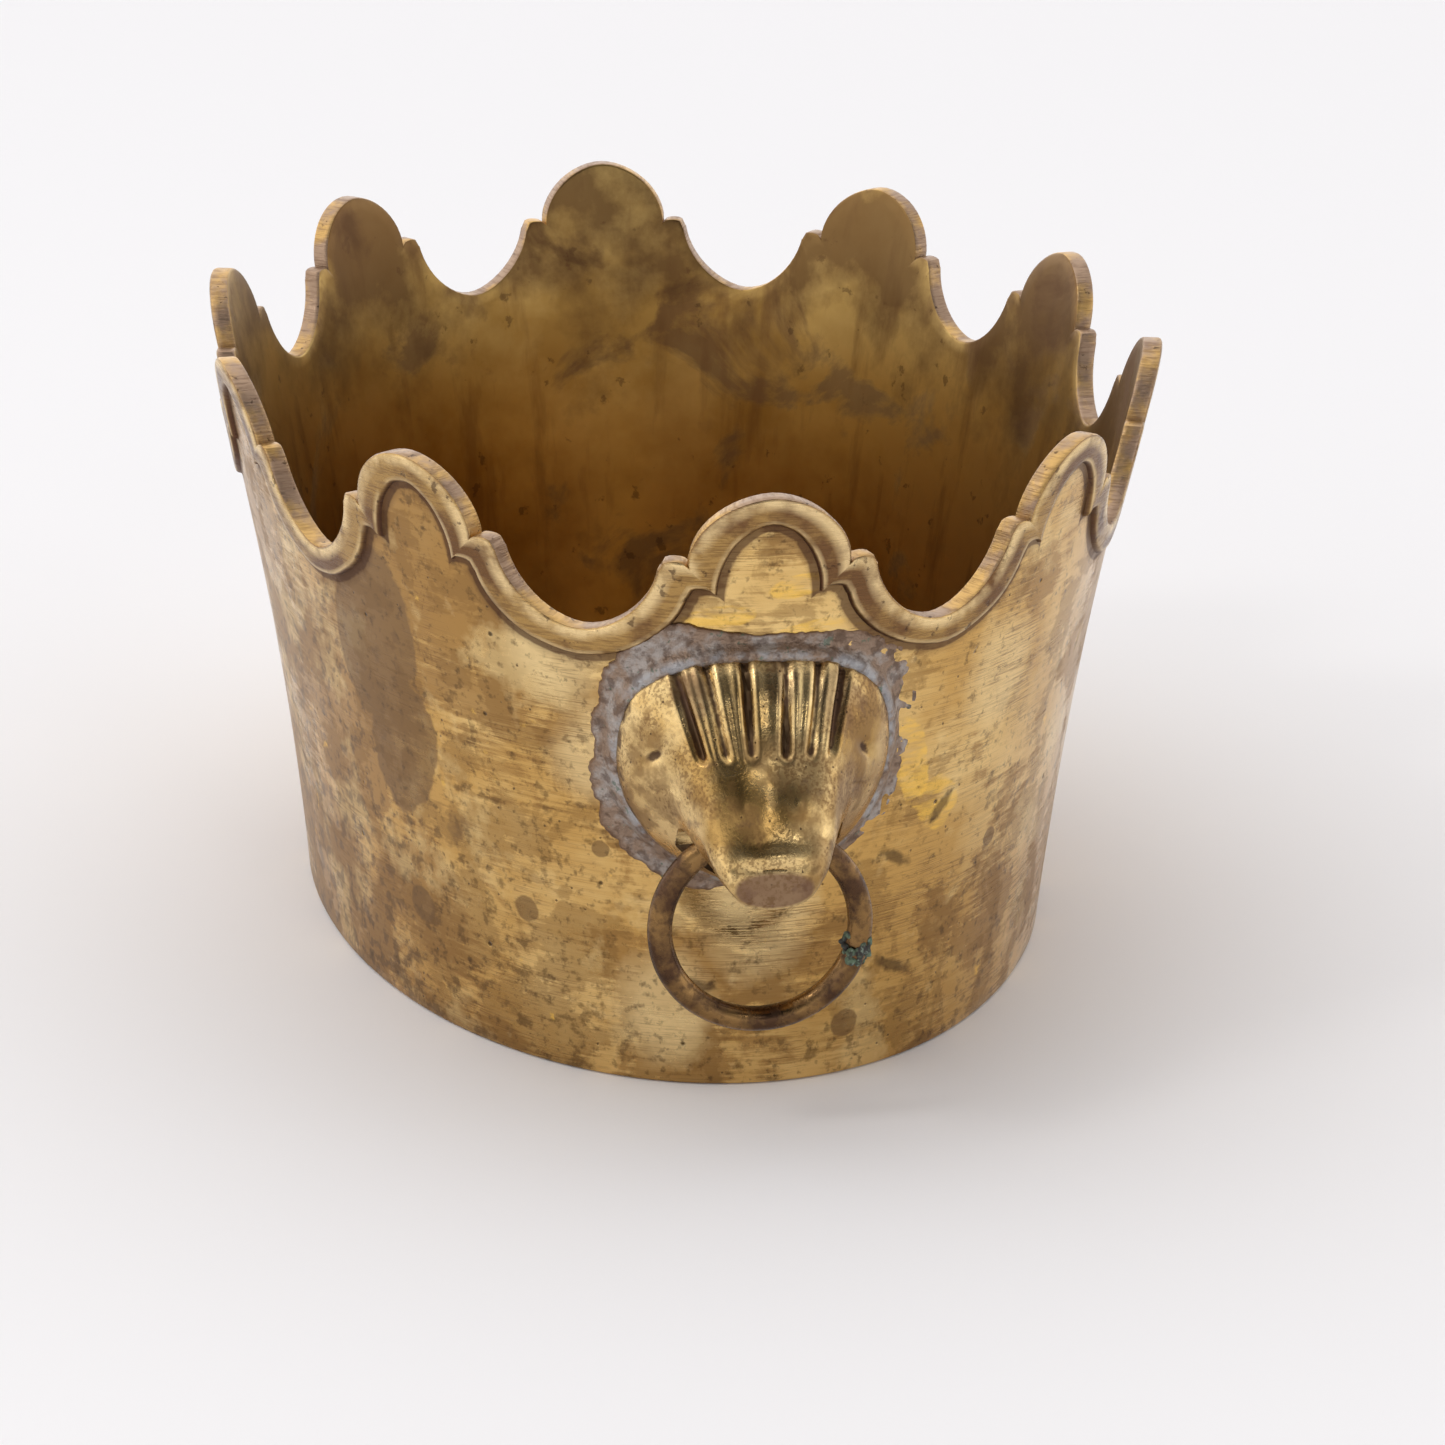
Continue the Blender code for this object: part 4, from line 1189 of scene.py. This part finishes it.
# Purple stains, the right one also painted shade on the right-hand ridges: across, over the head's middle,
# and half width, in millimetres.
for across, rise, size in ((9.0, 9.5, 5.0), (-10.5, 11.0, 3.5), (1.5, 12.5, 3.0)):
    on_head = (across * MM, swing_line.y + 6 * MM, HEAD_MIDDLE + rise * MM)
    purple_stain_and_shade = stain(tree, where, on_head, (size * MM, 14 * MM, 1.3 * size * MM), ragged=0.5,
                   grain=3 * MM, edge=0.25)
    metal = over(tree, metal, "#5E443A", purple_stain_and_shade, 0.5)
sand = clouds(tree, where, 0.5 * MM, 0.46, 0.60, detail=2.0)
pitted = clouds(tree, where, 8 * MM, 0.42, 0.56, shift=0.35, inside=sand)
metal = over(tree, metal, "#6E5032", pitted, 0.6)
pocks = pits(tree, where, 1.3 * MM, 0.22 * MM, 0.25)
metal = over(tree, metal, "#3C2C22", pocks, 0.8)
dull = summed(tree, 0.25, (film, 0.10), (ragged_groove, 0.22), (nose_end, 0.12), (pitted, 0.08),
              (rim_dirt, 0.25))
wear(shader, tree, metal, dull, relief(tree, (sand, -0.008 * MM), (pocks, -0.05 * MM)))
for piece in (lion_mask, rear_mask):
    piece.data.materials.clear()
    piece.data.materials.append(lion_brass)
print("head finish has", len(tree.nodes), "nodes")

# %% [markdown]
# ### Solder, wire and verdigris
#
# Old lead and tin solder is a dull, warm grey, browned by flux in its hollows and gritty. The rings are
# bronze wire that hands have turned brown. Where the joint of a ring was soldered, damp made a matt
# blue-green crust with black and grey in it, and this is the only bare mineral on the pot.
# %% Solder
solder_grey, tree, shader, where = new_finish("lead_tin_solder")
metal = over(tree, "#A79D95", "#937C69", clouds(tree, where, 5 * MM, 0.44, 0.56, detail=7.0))
flux = clouds(tree, where, 2.0 * MM, 0.50, 0.60, detail=8.0, shift=0.11)
metal = over(tree, metal, "#5F493B", flux, 0.6)
bead = add(tree, "Attribute", attribute_name="bead").outputs["Fac"]
bead = add(tree, "MapRange", {"Value": bead, "From Min": 0.45, "From Max": 0.95})
bare_bead = clouds(tree, where, 4 * MM, 0.44, 0.56, shift=0.8, inside=bead)
metal = over(tree, metal, "#A9ACB0", bare_bead, 0.65)
thin_edge = add(tree, "Attribute", attribute_name="edge").outputs["Fac"]
metal = over(tree, metal, "#6E5038", thin_edge, 0.75)
green = clouds(tree, where, 1.5 * MM, 0.63, 0.66, detail=5.0, shift=0.5)
metal = over(tree, metal, "#4F6A58", green, 0.6)
grit = clouds(tree, where, 0.7 * MM, 0.3, 0.7, detail=4.0)
dull = summed(tree, 0.42, (flux, 0.2))
wear(shader, tree, metal, dull, relief(tree, (grit, 0.15 * MM)), metallic=0.7)
for piece in (head_solder, rear_solder, base_bead):
    piece.data.materials.append(solder_grey)
print("solder finish has", len(tree.nodes), "nodes")

# %% [markdown]
# The wire's brown skin has dark speckles a millimetre or so wide, where sweat etched it. The verdigris
# is a mineral and not a metal, so its metallic is zero and it hardly shines.
# %% Bronze wire and verdigris
bronze_wire, tree, shader, where = new_finish("drawn_bronze_wire_browned")
metal = over(tree, "#8A6A42", "#523C2C", clouds(tree, where, 6.5 * MM, 0.42, 0.58, detail=8.0))
speckle = clouds(tree, where, 1.3 * MM, 0.50, 0.66, detail=8.0, shift=0.2)
metal = over(tree, metal, "#3E2F28", speckle, 0.55)
dull = summed(tree, 0.25, (speckle, 0.16))
wear(shader, tree, metal, dull, relief(tree, (speckle, -0.03 * MM)))
for piece in (front_ring, rear_ring):
    piece.data.materials.append(bronze_wire)

verdigris, tree, shader, where = new_finish("verdigris_crust")
crusty = over(tree, "#5C6E58", "#3A3632", clouds(tree, where, 1.6 * MM, 0.42, 0.54, detail=5.0))
crusty = over(tree, crusty, "#8C9C8C", clouds(tree, where, 0.8 * MM, 0.58, 0.66, shift=0.3), 0.7)
grit = clouds(tree, where, 0.4 * MM, 0.3, 0.7, detail=4.0)
dull = summed(tree, 0.75, (grit, 0.15))
wear(shader, tree, crusty, dull, relief(tree, (grit, 0.08 * MM)), metallic=0.0)
for piece in (front_crust, rear_crust):
    piece.data.materials.append(verdigris)
print("rings and crusts wear", bronze_wire.name, "and", verdigris.name)

# %% [markdown]
# ## Hang the pieces on the moving model
#
# Each piece rides on the body that carries it, and the imported node that it stands for is hidden. Each
# row also names a material slot for its finish, which nothing reads.
# %% Hang the pieces
hangings = (
    (pot_wall, "pot", "wall_brass", "pot_wall"),
    (base_bead, "pot", "solder", "base_solder_seam"),
    (lion_mask, "pot", "head_brass", "front_lion_head"),
    (rear_mask, "pot", "head_brass", "rear_lion_head"),
    (head_solder, "pot", "solder", "front_head_solder"),
    (rear_solder, "pot", "solder", "rear_head_solder"),
    (front_ring, "front_ring", "ring_wire", "front_ring"),
    (rear_ring, "rear_ring", "ring_wire", "rear_ring"),
    (front_crust, "front_ring", "ring_wire", None),
    (rear_crust, "rear_ring", "ring_wire", None),
)
for piece, body, material_slot, node in hangings:
    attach(piece, body)
    if node:
        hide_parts(node)
print(len(hangings), "pieces hang on", sorted({row[1] for row in hangings}))
